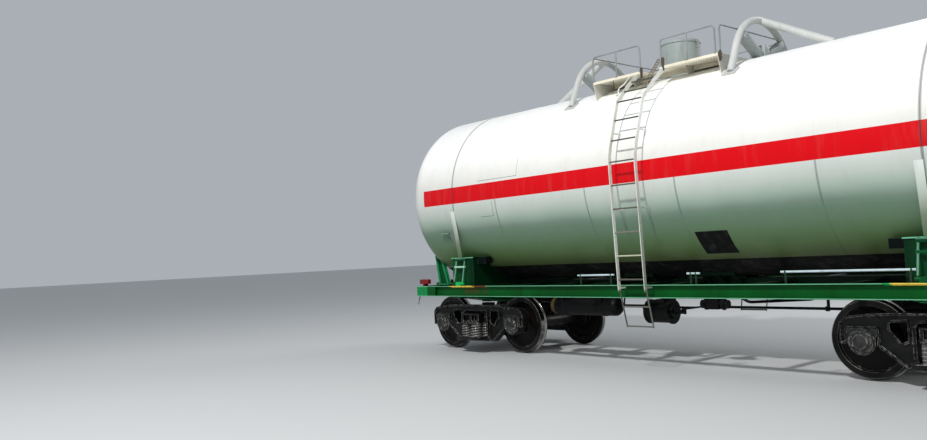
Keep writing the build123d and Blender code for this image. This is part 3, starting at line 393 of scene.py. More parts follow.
ladderLook = {
    "sideY": (1.05, 1.06), "belowDeck": (4.3, 4.25), "rungs": (0.2225, 0.2205),
    # painted light on the lower rungs, painted shade on the upper ones
    "rungGrey": rgb(86, 83, 76), "paleZ": (1.45, 1.95), "rungPale": rgb(190, 190, 164),
    "darkZ": (3.3, 3.7), "rungDark": rgb(66, 62, 55),
    "brackets": (0.2325, 0.2335), "greenZ": (1.5, 1.4), "green": rgb(0, 78, 30),
    "foot": (1.17, 1.13), "footGrey": rgb(94, 94, 86),
    "worn": (0.6, 0.68, 0.3), "wornScale": 16.0, "wornBrown": rgb(150, 132, 100),
    "soft": 0.05,
}


def ladderMarks(tree, colour):
    # rungs grey, with painted light in a paler band lower down and painted shade higher up, brackets with
    # the tank's painted shade and green at the sill, the foot grey
    s = ladderLook
    x, y, z = places(tree)
    fromMiddle = unsigned(tree, calc(tree, "SUBTRACT", x, car["ladderX"]))
    onSide = times(tree, ramp(tree, unsigned(tree, y), *s["sideY"]), ramp(tree, z, *s["belowDeck"]))
    paint = mixColour(tree, band(tree, z, *s["paleZ"], s["soft"]), s["rungGrey"], s["rungPale"])
    paint = paintOver(tree, paint, s["rungDark"], ramp(tree, z, *s["darkZ"]))
    colour = paintOver(tree, colour, paint, ramp(tree, fromMiddle, *s["rungs"]), onSide)
    brackets = times(tree, ramp(tree, fromMiddle, *s["brackets"]), onSide)
    behind = gradient(tree, z, tankLook["shading"])
    behind = paintOver(tree, behind, s["green"], ramp(tree, z, *s["greenZ"]))
    colour = paintOver(tree, colour, behind, brackets)
    foot = ramp(tree, z, *s["foot"])
    colour = paintOver(tree, colour, s["footGrey"], foot, calc(tree, "SUBTRACT", 1.0, brackets))
    worn = ramp(tree, noise(tree, s["wornScale"], 6), *s["worn"])
    return paintOver(tree, colour, s["wornBrown"], worn), {}


archLook = {
    # painted shade on the far half of the hoop
    "strutY": (0.6, 0.54), "strutZ": (4.72, 4.66), "strutX": (0.22, 0.2), "far": (0.02, 0.12, 0.75),
    "grey": rgb(150, 158, 156),
}


def archMarks(tree, colour):
    # the far half of the hoop is painted darker grey as painted shade; the V strut and its gusset get the
    # same darker grey
    s = archLook
    x, y, z = places(tree)
    left, right = car["archX"]
    fromMiddle = unsigned(tree, calc(tree, "SUBTRACT", x, (left + right) / 2))
    fromHoop = unsigned(tree, calc(tree, "SUBTRACT", fromMiddle, (right - left) / 2))
    colour = paintOver(tree, colour, s["grey"], ramp(tree, y, *s["far"]))
    strut = times(tree, ramp(tree, unsigned(tree, y), *s["strutY"]), ramp(tree, z, *s["strutZ"]))
    return paintOver(tree, colour, s["grey"], strut, ramp(tree, fromHoop, *s["strutX"])), {}


deckLook = {
    # painted light on the faces turned down
    "under": (-0.5, -0.9), "bright": rgb(255, 250, 232),
    "pitch": 0.02, "slant": 0.6, "mesh": (0.008, 0.011, 0.45), "meshBrown": rgb(150, 136, 104),
    "flat": (0.8, 0.9), "ends": (0.8, 0.9, 0.8), "endGrey": rgb(190, 192, 186),
}


def deckMarks(tree, colour):
    # diamond openings in the flat plates; faces turned down painted bright as painted light from below;
    # end plates plain and greyer
    s = deckLook
    x, y, z = places(tree)
    geometry = addNode(tree, "NewGeometry")
    normal = addNode(tree, "SeparateXYZ", {0: geometry.outputs["Normal"]})
    colour = paintOver(tree, colour, s["bright"], ramp(tree, normal.outputs[2], *s["under"]))
    slant = times(tree, y, s["slant"])
    lines = [calc(tree, "PINGPONG", calc(tree, way, x, slant), s["pitch"]) for way in ("ADD", "SUBTRACT")]
    openings = ramp(tree, calc(tree, "MINIMUM", *lines), *s["mesh"])
    flat = ramp(tree, unsigned(tree, normal.outputs[2]), *s["flat"])
    colour = paintOver(tree, colour, s["meshBrown"], openings, flat)
    upright = ramp(tree, unsigned(tree, normal.outputs[0]), *s["ends"])
    return paintOver(tree, colour, s["endGrey"], upright), {}


wheelLook = {
    "web": (0.13, 0.392), "webBrown": rgb(24, 21, 19), "webAmount": 0.6,
    "rim": (0.408, 0.472), "rimY": (0.846, 0.849), "rimGrey": rgb(42, 41, 40), "rimAmount": 0.3,
    "tread": (0.4755, 0.4765), "treadY": (0.742, 0.848), "treadGrey": rgb(150, 148, 144),
    "soft": 0.004, "metallic": 0.25, "polish": -0.3,
}


def wheelMarks(tree, colour):
    # distance from the nearest axle, folded from the four axle places
    s = wheelLook
    x, y, z = places(tree)
    fromPivot = calc(tree, "SUBTRACT", unsigned(tree, x), car["pivotX"])
    fromAxle = calc(tree, "SUBTRACT", unsigned(tree, fromPivot), car["axleReach"])
    radius = distance(tree, fromAxle, calc(tree, "SUBTRACT", z, car["axleZ"]))
    web = band(tree, radius, *s["web"], s["soft"])
    colour = paintOver(tree, colour, s["webBrown"], web, s["webAmount"])
    side = unsigned(tree, y)
    rim = times(tree, band(tree, radius, *s["rim"], s["soft"]), ramp(tree, side, *s["rimY"]))
    colour = paintOver(tree, colour, s["rimGrey"], rim, s["rimAmount"])
    tread = times(tree, ramp(tree, radius, *s["tread"]), band(tree, side, *s["treadY"]))
    colour = paintOver(tree, colour, s["treadGrey"], tread)
    return colour, {"metallic": calc(tree, "MAXIMUM", tread, s["metallic"]),
                    "rough": times(tree, tread, s["polish"])}


reservoirLook = {"cap": (-2.135, -2.145, 0.8), "capEnd": (-2.3, -2.28), "capBrown": rgb(76, 67, 36)}


def reservoirMarks(tree, colour):
    # the cap at its left end
    s = reservoirLook
    x, y, z = places(tree)
    cap = times(tree, ramp(tree, x, *s["cap"]), ramp(tree, x, *s["capEnd"]))
    return paintOver(tree, colour, s["capBrown"], cap), {}


gloss = {"coat": 0.04, "roughness": 0.34, "specular": 0.18}
green = {"roughness": 0.42, "specular": 0.12, "grimeAmount": 0.25, "grime": rgb(8, 30, 16),
         "edge": rgb(130, 205, 165), "edgeAmount": 0.8, "dustAmount": 0.2, "dust": rgb(96, 120, 84),
         "rustAmount": 0.3}
# painted highlight: castings get near-white edges
casting = {"metallic": 0.2, "edge": rgb(226, 224, 216), "edgeAmount": 0.9, "edgeScale": 22.0}
finishes = {
    "tank_paint": wornMetal(
        "tankPaint", colour=rgb(243, 242, 238), shade=rgb(235, 235, 231), grimeAmount=0.1,
        grime=rgb(150, 150, 136), dustAmount=0.04, rustAmount=0.03, rustFrom=0.74, bump=0.03, grain=4.0,
        streak=(5, 5, 0.7), edgeWidth=0.002, marks=tankMarks, **gloss),
    "frame_paint": wornMetal("framePaint", colour=rgb(0, 82, 34), shade=rgb(0, 62, 24), **green),
    "ladder_paint": wornMetal(
        "ladderPaint", colour=rgb(236, 239, 230), shade=rgb(222, 224, 212), grimeAmount=0.2,
        rustAmount=0.35, rustFrom=0.68, marks=ladderMarks),
    "deck_paint": wornMetal(
        "deckPaint", colour=rgb(240, 234, 214), shade=rgb(226, 218, 194), grimeAmount=0.2,
        grime=rgb(150, 132, 100), rustAmount=0.4, rustFrom=0.68, dustAmount=0.15, marks=deckMarks,
        roughness=0.6),
    "rail_paint": wornMetal(
        "railPaint", colour=rgb(150, 154, 154), shade=rgb(124, 128, 128), rustAmount=0.5, rustFrom=0.6,
        rustScale=14.0),
    "hood_paint": wornMetal(
        "hoodPaint", colour=rgb(157, 166, 164), shade=rgb(145, 154, 152), grimeAmount=0.25,
        rustAmount=0.35, rustFrom=0.66, dustAmount=0.1),
    "cap_red": wornMetal(
        "capRed", colour=rgb(150, 14, 18), shade=rgb(116, 10, 14), roughness=0.4, rustAmount=0.4,
        dustAmount=0.1),
    "valve_steel": wornMetal(
        "valveSteel", colour=rgb(150, 150, 150), shade=rgb(110, 110, 112), metallic=0.9, roughness=0.35,
        grimeAmount=0.4),
    "coupler_iron": wornMetal(
        "couplerIron", colour=rgb(52, 42, 36), shade=rgb(36, 31, 28), metallic=0.35, roughness=0.6,
        rustAmount=0.7, rustFrom=0.54, grain=40.0, bump=0.5, dustAmount=0.15, edge=rgb(150, 140, 128),
        edgeAmount=0.4),
    "underframe_black": wornMetal(
        "underframeBlack", colour=rgb(5, 6, 7), shade=rgb(10, 10, 11), roughness=0.45, specular=0.14,
        dustAmount=0.1, dust=rgb(60, 54, 44), rustAmount=0.15, grimeAmount=0.2, grime=rgb(8, 8, 8),
        edge=rgb(120, 118, 112), edgeAmount=0.4, marks=reservoirMarks),
    # painted highlight: light grey speckles in the rust spots, and near-white edges
    "bogie_iron": wornMetal(
        "bogieIron", colour=rgb(6, 7, 8), shade=rgb(28, 27, 26), toneScale=4.0, roughness=0.38,
        specular=0.25, dustAmount=0.12, dust=rgb(70, 64, 56), grimeAmount=0.4, grime=rgb(5, 5, 5),
        rust=rgb(120, 116, 108), rustAmount=0.35, rustFrom=0.7, rustScale=26.0, bump=0.45, grain=45.0,
        edgeWidth=0.011, edgeFrom=0.42, **casting),
    # partly painted highlight: the springs' grey is kept light so their turns show bright
    "spring_steel": wornMetal(
        "springSteel", colour=rgb(186, 185, 180), shade=rgb(120, 118, 114), metallic=0.2, roughness=0.2,
        specular=1.0, dustAmount=0.12, rustAmount=0.2, bump=0.1, grimeAmount=0.3, grime=rgb(12, 11, 10)),
    # painted highlight on the wheels' edges
    "wheel_steel": wornMetal(
        "wheelSteel", colour=rgb(17, 17, 16), shade=rgb(12, 12, 11), roughness=0.42, specular=0.15,
        grimeAmount=0.4, grime=rgb(14, 12, 11), rustAmount=0.3, rustFrom=0.62, dustAmount=0.12,
        edge=rgb(214, 212, 206), edgeAmount=0.85, edgeWidth=0.006, marks=wheelMarks),
    "axle_steel": wornMetal(
        "axleSteel", colour=rgb(30, 27, 25), shade=rgb(22, 20, 19), metallic=0.4, roughness=0.45,
        rustAmount=0.35, rustFrom=0.6, dustAmount=0.1),
}
archPaint = wornMetal(
    "archPaint", colour=rgb(203, 204, 201), shade=rgb(188, 190, 187), grimeAmount=0.25,
    grime=rgb(120, 122, 112), rustAmount=0.2, rustFrom=0.7, specular=0.25, marks=archMarks)
rodPaint = wornMetal("rodPaint", colour=rgb(112, 166, 136), shade=rgb(84, 140, 108), marks=rodMarks,
                     **dict(green, edgeAmount=0.2))
# painted shade: the frame's inner parts under the tank are painted near-black green
innerPaint = wornMetal("innerPaint", colour=rgb(6, 36, 18), shade=rgb(8, 26, 14),
                       **dict(green, edgeAmount=0.2))
axleBoxIron = wornMetal(
    "axleBoxIron", colour=rgb(58, 58, 56), shade=rgb(26, 26, 25), toneScale=9.0, roughness=0.36,
    grimeAmount=0.3, grime=rgb(8, 8, 8), rustAmount=0.2, bump=0.6, grain=30.0, edgeWidth=0.01,
    edgeFrom=0.4, **casting)
# nodes whose finish differs from their slot's
ownFinish = {
    "guard_arch_1": archPaint, "guard_arch_2": archPaint,
    "saddles": wornMetal("saddlePaint", colour=rgb(0, 76, 34), shade=rgb(0, 56, 26), marks=saddleMarks,
                         **dict(green, edgeAmount=0.35)),
    "side_sills": wornMetal("sillPaint", colour=rgb(0, 84, 28), shade=rgb(0, 70, 21), marks=sillMarks,
                            **dict(green, edgeAmount=0.0)),
    "end_struts": wornMetal("strutPaint", colour=rgb(40, 160, 100), shade=rgb(24, 132, 78),
                            marks=strutMarks, **green),
    "strap_tie_rods": rodPaint,
    "cross_bearers": innerPaint, "tank_feet": innerPaint, "centre_sill": innerPaint,
    "axle_boxes_1": axleBoxIron, "axle_boxes_2": axleBoxIron,
    "sill_pipes": wornMetal("pipePaint", colour=rgb(206, 222, 228), shade=rgb(184, 202, 208),
                            marks=sillPipeMarks, grimeAmount=0.3, rustAmount=0.3),
}
slotOf = {row["node"]: row["material_slot"] for row in frame["record"]["subparts"]}
for nodeName, node in nodes.items():
    node.data.materials.clear()
    node.data.materials.append(ownFinish.get(nodeName, finishes[slotOf[nodeName]]))
print("materials made:", len(bpy.data.materials))


# helpers for modelling
def activate(part):
    bpy.ops.object.select_all(action="DESELECT")
    part.select_set(True)
    bpy.context.view_layer.objects.active = part


def edit(part):
    activate(part)
    bpy.ops.object.mode_set(mode="EDIT")


def done():
    bpy.ops.object.mode_set(mode="OBJECT")


def pick(part, test):
    # in edit mode, selects the faces whose middle and normal pass the test
    bpy.ops.mesh.select_mode(type="FACE")
    bpy.ops.mesh.select_all(action="DESELECT")
    mesh = bmesh.from_edit_mesh(part.data)
    for face in mesh.faces:
        face.select_set(bool(test(face.calc_center_median(), face.normal)))
    bmesh.update_edit_mesh(part.data)


def toward(x, y, z, orBack=False):
    # for pick: the faces that look this way
    way = Vector((x, y, z))
    return lambda middle, normal: (abs(normal.dot(way)) if orBack else normal.dot(way)) > 0.9


def pull(x, y, z):
    bpy.ops.mesh.extrude_region_move(TRANSFORM_OT_translate={"value": (x, y, z)})


def settle(part):
    activate(part)
    bpy.ops.object.transform_apply(location=True, rotation=True, scale=True)
    return part


def cylinder(steps, radius, depth, place, turn=0):
    bpy.ops.mesh.primitive_cylinder_add(vertices=steps, radius=radius, depth=depth, location=place,
                                        rotation=(0, turn, 0))
    return settle(bpy.context.object)


def hoop(radius, wire, steps, place=(0, 0, 0), turn=0):
    # steps round the hoop, and round its wire
    bpy.ops.mesh.primitive_torus_add(location=place, rotation=(0, turn, 0), major_radius=radius,
                                     minor_radius=wire, major_segments=steps[0], minor_segments=steps[1])
    return settle(bpy.context.object)


def block(size, place=(0, 0, 0)):
    # the start of a piece that is then shaped
    bpy.ops.mesh.primitive_cube_add(size=1, location=place)
    made = bpy.context.object
    made.scale = size
    return settle(made)


def stretchRing(ring, stretch, centre):
    edit(ring)
    bpy.ops.mesh.select_all(action="SELECT")
    bpy.ops.transform.resize(value=stretch, center_override=centre)
    done()
    return ring


def applyModifiers(part):
    activate(part)
    for modifier in list(part.modifiers):
        bpy.ops.object.modifier_apply(modifier=modifier.name)


def roundEdges(part, width, segments=1):
    rounding = part.modifiers.new("rounding", "BEVEL")
    rounding.width = width
    rounding.segments = segments
    applyModifiers(part)


def tidyNormals(part):
    edit(part)
    bpy.ops.mesh.select_all(action="SELECT")
    bpy.ops.mesh.remove_doubles(threshold=0.0001)
    bpy.ops.mesh.normals_make_consistent(inside=False)
    done()


def joinAll(parts, name):
    bpy.ops.object.select_all(action="DESELECT")
    for part in parts:
        part.select_set(True)
    bpy.context.view_layer.objects.active = parts[0]
    if len(parts) > 1:
        bpy.ops.object.join()
    joined = bpy.context.object
    joined.name = name
    joined.data.name = name
    return settle(joined)


def twinOf(part, turn, place):
    # a copy with its own mesh
    twin = part.copy()
    twin.data = part.data.copy()
    twin.matrix_world = Matrix.Translation(place) @ turn
    bpy.context.collection.objects.link(twin)
    return twin


def spread(part, spots, name):
    # copies of a part that stands at the origin along +Z, each at a place and facing a direction
    copies = [twinOf(part, Vector(facing).to_track_quat("Z", "Y").to_matrix().to_4x4(), place)
              for place, facing in spots]
    bpy.data.objects.remove(part)
    return joinAll(copies, name)


def finishPiece(part, slotName, body="car_body", smooth=40, material=None):
    activate(part)
    part.data.materials.clear()
    part.data.materials.append(material or finishes[slotName])
    bpy.ops.object.shade_smooth_by_angle(angle=radians(smooth))
    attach(part, body)


# coil springs, with flattened end turns, in place of the plain stacks
springLook = {
    "bottom": 0.280, "top": 0.530, "nestY": 1.018,
    "outer": {"radius": 0.081, "wire": 0.0135, "turns": 5, "corners": 8, "steps": 20},
    "inner": {"radius": 0.046, "wire": 0.009, "turns": 8, "corners": 6, "steps": 12},
    "endTurn": 0.007, "endFlat": 0.5, "endSteps": (24, 8),
    "spots": [(-0.195, 0), (0, 0), (0.195, 0), (-0.125, -0.182), (0.125, -0.182), (-0.125, 0.182),
              (0.125, 0.182)],
}


def coil(height, radius, wire, turns, corners, steps):
    bpy.ops.mesh.primitive_circle_add(vertices=corners, radius=wire, location=(radius, 0, wire),
                                      rotation=(pi / 2, 0, 0))
    made = settle(bpy.context.object)
    screw = made.modifiers.new("coil", "SCREW")
    screw.axis = "Z"
    screw.angle = 2 * pi
    screw.screw_offset = (height - 2 * wire) / turns
    screw.iterations = turns
    screw.steps = steps
    screw.render_steps = steps
    applyModifiers(made)
    edit(made)
    bpy.ops.mesh.select_mode(type="EDGE")
    bpy.ops.mesh.select_all(action="DESELECT")
    bpy.ops.mesh.select_non_manifold()
    bpy.ops.mesh.edge_face_add()
    done()
    tidyNormals(made)
    return made


def makeSpring():
    s = springLook
    height = s["top"] - s["bottom"]
    parts = [coil(height, **s["outer"]), coil(height, **s["inner"])]
    for z in (s["endTurn"], height - s["endTurn"]):
        turn = hoop(s["outer"]["radius"], s["outer"]["wire"], s["endSteps"], (0, 0, z))
        parts.append(stretchRing(turn, (1, 1, s["endFlat"]), (0, 0, z)))
    return joinAll(parts, "spring")


for number, pivotX in bogies:
    spots = [((pivotX + dx, side * springLook["nestY"] + dy, springLook["bottom"]), (0, 0, 1))
             for side in sides for dx, dy in springLook["spots"]]
    coils = spread(makeSpring(), spots, "spring_coils_%d" % number)
    finishPiece(coils, "spring_steel", "bogie_%d" % number, 60)
    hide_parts("springs_%d" % number)
print("springs wound")


# weld beads round the tank
beadLook = {"radius": 1.549, "bead": 0.005, "steps": (160, 6), "broad": 1.6}
beads = []
for x in [end * seam for end in ends for seam in car["seamX"]]:
    centre = (x, 0, car["tankZ"])
    bead = hoop(beadLook["radius"], beadLook["bead"], beadLook["steps"], centre, pi / 2)
    beads.append(stretchRing(bead, (beadLook["broad"], 1, 1), centre))
seams = joinAll(beads, "weld_seams")
finishPiece(seams, "tank_paint", smooth=60)
print("weld seams laid")


# bolts, in shares of the head's radius
boltShape = {"washer": 1.25, "washerHigh": 0.2, "high": 0.7, "middle": 0.5, "chamfer": (0.22, 0.12),
             "thread": (0.25, 0.25)}


def makeBolt(size):
    # washer, hexagon head with a raised middle, end of the thread
    s = boltShape
    washer = cylinder(10, size * s["washer"], size * s["washerHigh"], (0, 0, size * s["washerHigh"] / 2))
    head = cylinder(6, size, size * s["high"], (0, 0, size * s["middle"]))
    edit(head)
    pick(head, toward(0, 0, 1))
    bpy.ops.mesh.inset(thickness=size * s["chamfer"][0])
    bpy.ops.transform.translate(value=(0, 0, size * s["chamfer"][1]))
    bpy.ops.mesh.inset(thickness=size * s["thread"][0])
    pull(0, 0, size * s["thread"][1])
    done()
    return joinAll([washer, head], "bolt")


def ring(count, radius, turn=0.0):
    # places round a circle
    angles = [turn + step * 2 * pi / count for step in range(count)]
    return [(radius * cos(angle), radius * sin(angle)) for angle in angles]


axleBoxLook = {"bolts": 6, "ring": 0.107, "face": 1.146, "size": 0.013}
for number, pivotX in bogies:
    s = axleBoxLook
    spots = [((pivotX + reach + dx, side * s["face"], car["axleZ"] + dz), (0, side, 0))
             for reach in (-car["axleReach"], car["axleReach"]) for side in sides
             for dx, dz in ring(s["bolts"], s["ring"], pi / 6)]
    boxBolts = spread(makeBolt(s["size"]), spots, "axle_box_bolts_%d" % number)
    finishPiece(boxBolts, "bogie_iron", "bogie_%d" % number)
print("axle box bolts placed")


# where the smaller bolts sit, and how large they are
boltLook = {
    "strutFeet": {"x": (4.84, 4.93), "y": (0.918, 0.982), "z": 1.226, "size": 0.011},
    "strikers": {"x": 5.46, "y": 0.208, "z": (0.985, 1.07, 1.155), "size": 0.014},
    "cornerSteps": {"x": 5.064, "y": (1.182, 1.502), "z": (1.06, 1.18), "size": 0.006},
    "endRails": {"x": ((-1.036, -1), (1.256, 1)), "y": (0.894, 0.922), "z": (4.303, 4.353), "size": 0.005},
    "railPosts": {"x": (-0.988, -0.539, -0.09, 0.275, 0.7275, 1.18), "apart": 0.019, "y": 0.938,
                  "z": 4.383, "size": 0.004},
    "ladderBrackets": {"reach": 0.233, "size": 0.006,
                       "yz": ((1.56, 1.18), (1.62, 1.18), (1.60, 2.3), (1.66, 2.3), (1.53, 3.4),
                              (1.585, 3.4))},
    "cylinder": {"ends": ((-0.545, -1), (-0.115, 1)), "y": -0.42, "z": 0.745, "ring": 0.179,
                 "count": 12, "turn": 0.2, "size": 0.007},
    "distributor": {"ends": ((0.546, -1), (0.854, 1)), "y": -0.56, "z": 0.88, "ring": 0.072,
                    "count": 4, "turn": pi / 4, "size": 0.007},
    "manway": {"ring": 0.246, "count": 20, "z": 4.43, "size": 0.011, "fromValve": 0.095},
    "valves": {"spots": ((-0.15, -0.10), (0.15, -0.10), (0, 0.15)), "size": 0.006,
               "count": 4, "turn": 0.4, "flanges": ((0.06, 4.448), (0.056, 4.605))},
    # the straps' tension rods: y, z and which way the head faces along the rod
    "rods": {"apart": 0.112, "lean": (0.197, -0.98),
             "yz": ((1.3892, 1.656, 1), (1.4133, 1.536, 1), (1.4077, 1.564, -1)), "size": 0.017,
             "yoke": (1.385, 1.696), "yokeSize": 0.015},
}
bolts = {"frame": [], "black": [], "rails": [], "ladders": [], "valves": [], "rods": []}
for side in sides:
    for end in ends:
        s = boltLook["strutFeet"]
        bolts["frame"] += [((end * x, side * y, s["z"]), (0, 0, 1), s["size"])
                           for x in s["x"] for y in s["y"]]
        s = boltLook["strikers"]
        bolts["black"] += [((end * s["x"], side * s["y"], z), (end, 0, 0), s["size"]) for z in s["z"]]
        s = boltLook["cornerSteps"]
        if end * side < 0:  # the steps are on two corners
            bolts["ladders"] += [((end * s["x"], side * y, z), (0, side, 0), s["size"])
                                 for y in s["y"] for z in s["z"]]
        s = boltLook["ladderBrackets"]
        bolts["ladders"] += [((car["ladderX"] + end * s["reach"], side * y, z), (end, 0, 0), s["size"])
                             for y, z in s["yz"]]
        s = boltLook["railPosts"]
        bolts["rails"] += [((x + end * s["apart"], side * s["y"], s["z"]), (0, 0, 1), s["size"])
                           for x in s["x"]]
        s = boltLook["rods"]
        leanY, leanZ = side * s["lean"][0], s["lean"][1]
        for number, pivotX in bogies:
            x = pivotX + end * s["apart"]
            bolts["rods"].append(((x, side * s["yoke"][0], s["yoke"][1]), (0, 0, 1), s["yokeSize"]))
            bolts["rods"] += [((x, side * y, z), (0, way * leanY, way * leanZ), s["size"])
                              for y, z, way in s["yz"]]
    s = boltLook["endRails"]
    bolts["rails"] += [((x, side * y, z), (outward, 0, 0), s["size"])
                       for x, outward in s["x"] for y in s["y"] for z in s["z"]]
for group in ("cylinder", "distributor"):
    s = boltLook[group]
    bolts["black"] += [((x, s["y"] + dy, s["z"] + dz), (outward, 0, 0), s["size"])
                       for x, outward in s["ends"] for dy, dz in ring(s["count"], s["ring"], s["turn"])]
valveSpots = boltLook["valves"]["spots"]
s = boltLook["manway"]
bolts["valves"] += [((x, y, s["z"]), (0, 0, 1), s["size"]) for x, y in ring(s["count"], s["ring"])
                    if min(sqrt((x - a) ** 2 + (y - b) ** 2) for a, b in valveSpots) > s["fromValve"]]
s = boltLook["valves"]
bolts["valves"] += [((x + dx, y + dy, z), (0, 0, 1), s["size"]) for x, y in valveSpots
                    for reach, z in s["flanges"] for dx, dy in ring(s["count"], reach, s["turn"])]
boltFinish = {"frame": "frame_paint", "black": "underframe_black", "rails": "rail_paint",
              "ladders": "ladder_paint", "valves": "valve_steel", "rods": "frame_paint"}
for group, rows in bolts.items():
    sizes = sorted(set(row[2] for row in rows))
    made = joinAll([spread(makeBolt(size), [row[:2] for row in rows if row[2] == size], "boltsOfOneSize")
                    for size in sizes], "bolts_" + group)
    finishPiece(made, boltFinish[group], material=rodPaint if group == "rods" else None)
print("small bolts placed")


# raised lozenges of the deck plate, in pairs that face both ways
treadLook = {
    "pitch": 0.046, "long": 0.015, "narrow": 0.34, "high": 0.002, "taper": 0.62,
    "from": (-0.978, -0.925), "count": (48, 41),
    "hood": 0.39, "hatchX": (-0.095, 0.275), "hatchY": 0.68, "edgeX": 1.205, "edgeY": 0.935,
}


def makeLozenge(x, y, turn):
    s = treadLook
    centre = (x, y, car["deckTop"])
    bpy.ops.mesh.primitive_cone_add(vertices=4, radius1=s["long"], radius2=s["long"] * s["taper"],
                                    depth=s["high"], end_fill_type="NGON",
                                    location=(x, y, car["deckTop"] + s["high"] / 2))
    made = settle(bpy.context.object)
    edit(made)
    bpy.ops.mesh.select_all(action="SELECT")
    bpy.ops.transform.resize(value=(1, s["narrow"], 1), center_override=centre)
    bpy.ops.transform.rotate(value=turn, orient_axis="Z", center_override=centre)
    pick(made, toward(0, 0, -1))
    bpy.ops.mesh.delete(type="FACE")
    done()
    return made


def offThePlates(middle, normal):
    # under the hood, in the ladders' hatches, and past the deck's edges
    s = treadLook
    underHood = abs(middle.x) < s["hood"] and abs(middle.y) < s["hood"]
    inHatch = s["hatchX"][0] < middle.x < s["hatchX"][1] and abs(middle.y) > s["hatchY"]
    return underHood or inHatch or abs(middle.y) > s["edgeY"] or middle.x > s["edgeX"]


startX, startY = treadLook["from"]
half = treadLook["pitch"] / 2
tread = joinAll([makeLozenge(startX, startY, pi / 4), makeLozenge(startX + half, startY + half, -pi / 4)],
                "deck_tread")
for axis, count in enumerate(treadLook["count"]):
    rows = tread.modifiers.new("rows", "ARRAY")
    rows.use_relative_offset = False
    rows.use_constant_offset = True
    rows.constant_offset_displace = [treadLook["pitch"] if axis == step else 0 for step in range(3)]
    rows.count = count
applyModifiers(tread)
edit(tread)
pick(tread, offThePlates)
bpy.ops.mesh.delete(type="FACE")
done()
finishPiece(tread, "deck_paint")
print("deck tread laid")


# handwheels of the valves: a rim and three spokes over the plain disc
handwheelLook = {
    "rim": 0.061, "wire": 0.0055, "steps": (28, 8), "height": 4.695,
    "spoke": (0.061, 0.009, 0.007), "spokeZ": 0.003, "taper": 0.6,
    "hub": 0.013, "hubHigh": 0.014, "hubZ": 0.006, "chamfer": (0.004, 0.003),
}


def makeHandwheel():
    s = handwheelLook
    parts = [hoop(s["rim"], s["wire"], s["steps"])]
    for step in range(3):
        spoke = block(s["spoke"], (s["rim"] / 2, 0, s["spokeZ"]))
        edit(spoke)
        pick(spoke, toward(1, 0, 0))
        bpy.ops.transform.resize(value=(1, s["taper"], s["taper"]),
                                 center_override=(s["rim"], 0, s["spokeZ"]))
        done()
        spoke.rotation_euler = (0, 0, step * 2 * pi / 3)
        parts.append(settle(spoke))
    hub = cylinder(6, s["hub"], s["hubHigh"], (0, 0, s["hubZ"]))
    edit(hub)
    pick(hub, toward(0, 0, 1))
    bpy.ops.mesh.inset(thickness=s["chamfer"][0])
    bpy.ops.transform.translate(value=(0, 0, s["chamfer"][1]))
    done()
    return joinAll(parts + [hub], "handwheel")


wheels = spread(makeHandwheel(), [((x, y, handwheelLook["height"]), (0, 0, 1)) for x, y in valveSpots],
                "valve_handwheels")
finishPiece(wheels, "valve_steel")


# chains from the uncoupling levers over the strikers to the couplers
chainLook = {
    "pitch": 0.026, "wire": 0.0035, "steps": (12, 6),
    "link": 0.38, "long": 0.5,  # in shares of the pitch
    # from, to, sag
    "runs": [((5.245, 0.21, 1.25), (5.47, 0.14, 1.284), 0.0),
             ((5.47, 0.14, 1.284), (5.79, 0.03, 1.27), 0.02)],
}


def makeLink():
    s = chainLook
    link = hoop(s["pitch"] * s["link"], s["wire"], s["steps"])
    edit(link)
    pick(link, lambda middle, normal: middle.x > 0)
    bpy.ops.transform.translate(value=(s["pitch"] * s["long"], 0, 0))
    done()
    return link


link = makeLink()
chains = []
for end in ends:
    count = 0
    for (startX, startY, startZ), (stopX, stopY, stopZ), sag in chainLook["runs"]:
        start = Vector((end * startX, end * startY, startZ))
        run = Vector((end * stopX, end * stopY, stopZ)) - start
        steps = int(run.length / chainLook["pitch"])
        for step in range(steps):
            share = step / steps
            place = start + run * share - Vector((0, 0, 4 * sag * share * (1 - share)))
            slope = run - Vector((0, 0, 4 * sag * (1 - 2 * share)))
            lay = slope.to_track_quat("X", "Z").to_matrix().to_4x4()
            chains.append(twinOf(link, lay @ Matrix.Rotation(pi / 2 * (count % 2), 4, "X"), place))
            count += 1
bpy.data.objects.remove(link)
chain = joinAll(chains, "uncoupling_chains")
finishPiece(chain, "coupler_iron", smooth=60)
print("handwheels and chains made")


bendLook = {"round": 3, "along": 8}  # how finely bent pipes are divided


def pipe(points, radius, name):
    bpy.ops.object.select_all(action="DESELECT")
    bpy.ops.curve.primitive_bezier_curve_add()
    made = bpy.context.object
    made.name = name
    made.data.bevel_depth = radius
    made.data.bevel_resolution = bendLook["round"]
    made.data.resolution_u = bendLook["along"]
    made.data.use_fill_caps = True
    corners = made.data.splines[0].bezier_points
    corners.add(len(points) - 2)
    for corner, place in zip(corners, points):
        corner.co = place
        corner.handle_left_type = corner.handle_right_type = "AUTO"
    bpy.ops.object.convert(target="MESH")
    made = settle(bpy.context.object)
    tidyNormals(made)
    return made


# grab hook beside each ladder's top
hookLook = {
    "path": [(-0.27, -0.952, 4.345), (-0.3, -1.06, 4.22), (-0.4, -1.1, 4.124), (-0.366, -1.1, 4.023)],
    "radius": 0.007,
}
hook = joinAll([pipe([(x, side * y, z) for x, y, z in hookLook["path"]], hookLook["radius"], "hook")
                for side in sides], "grab_hooks")
finishPiece(hook, "ladder_paint", smooth=60)


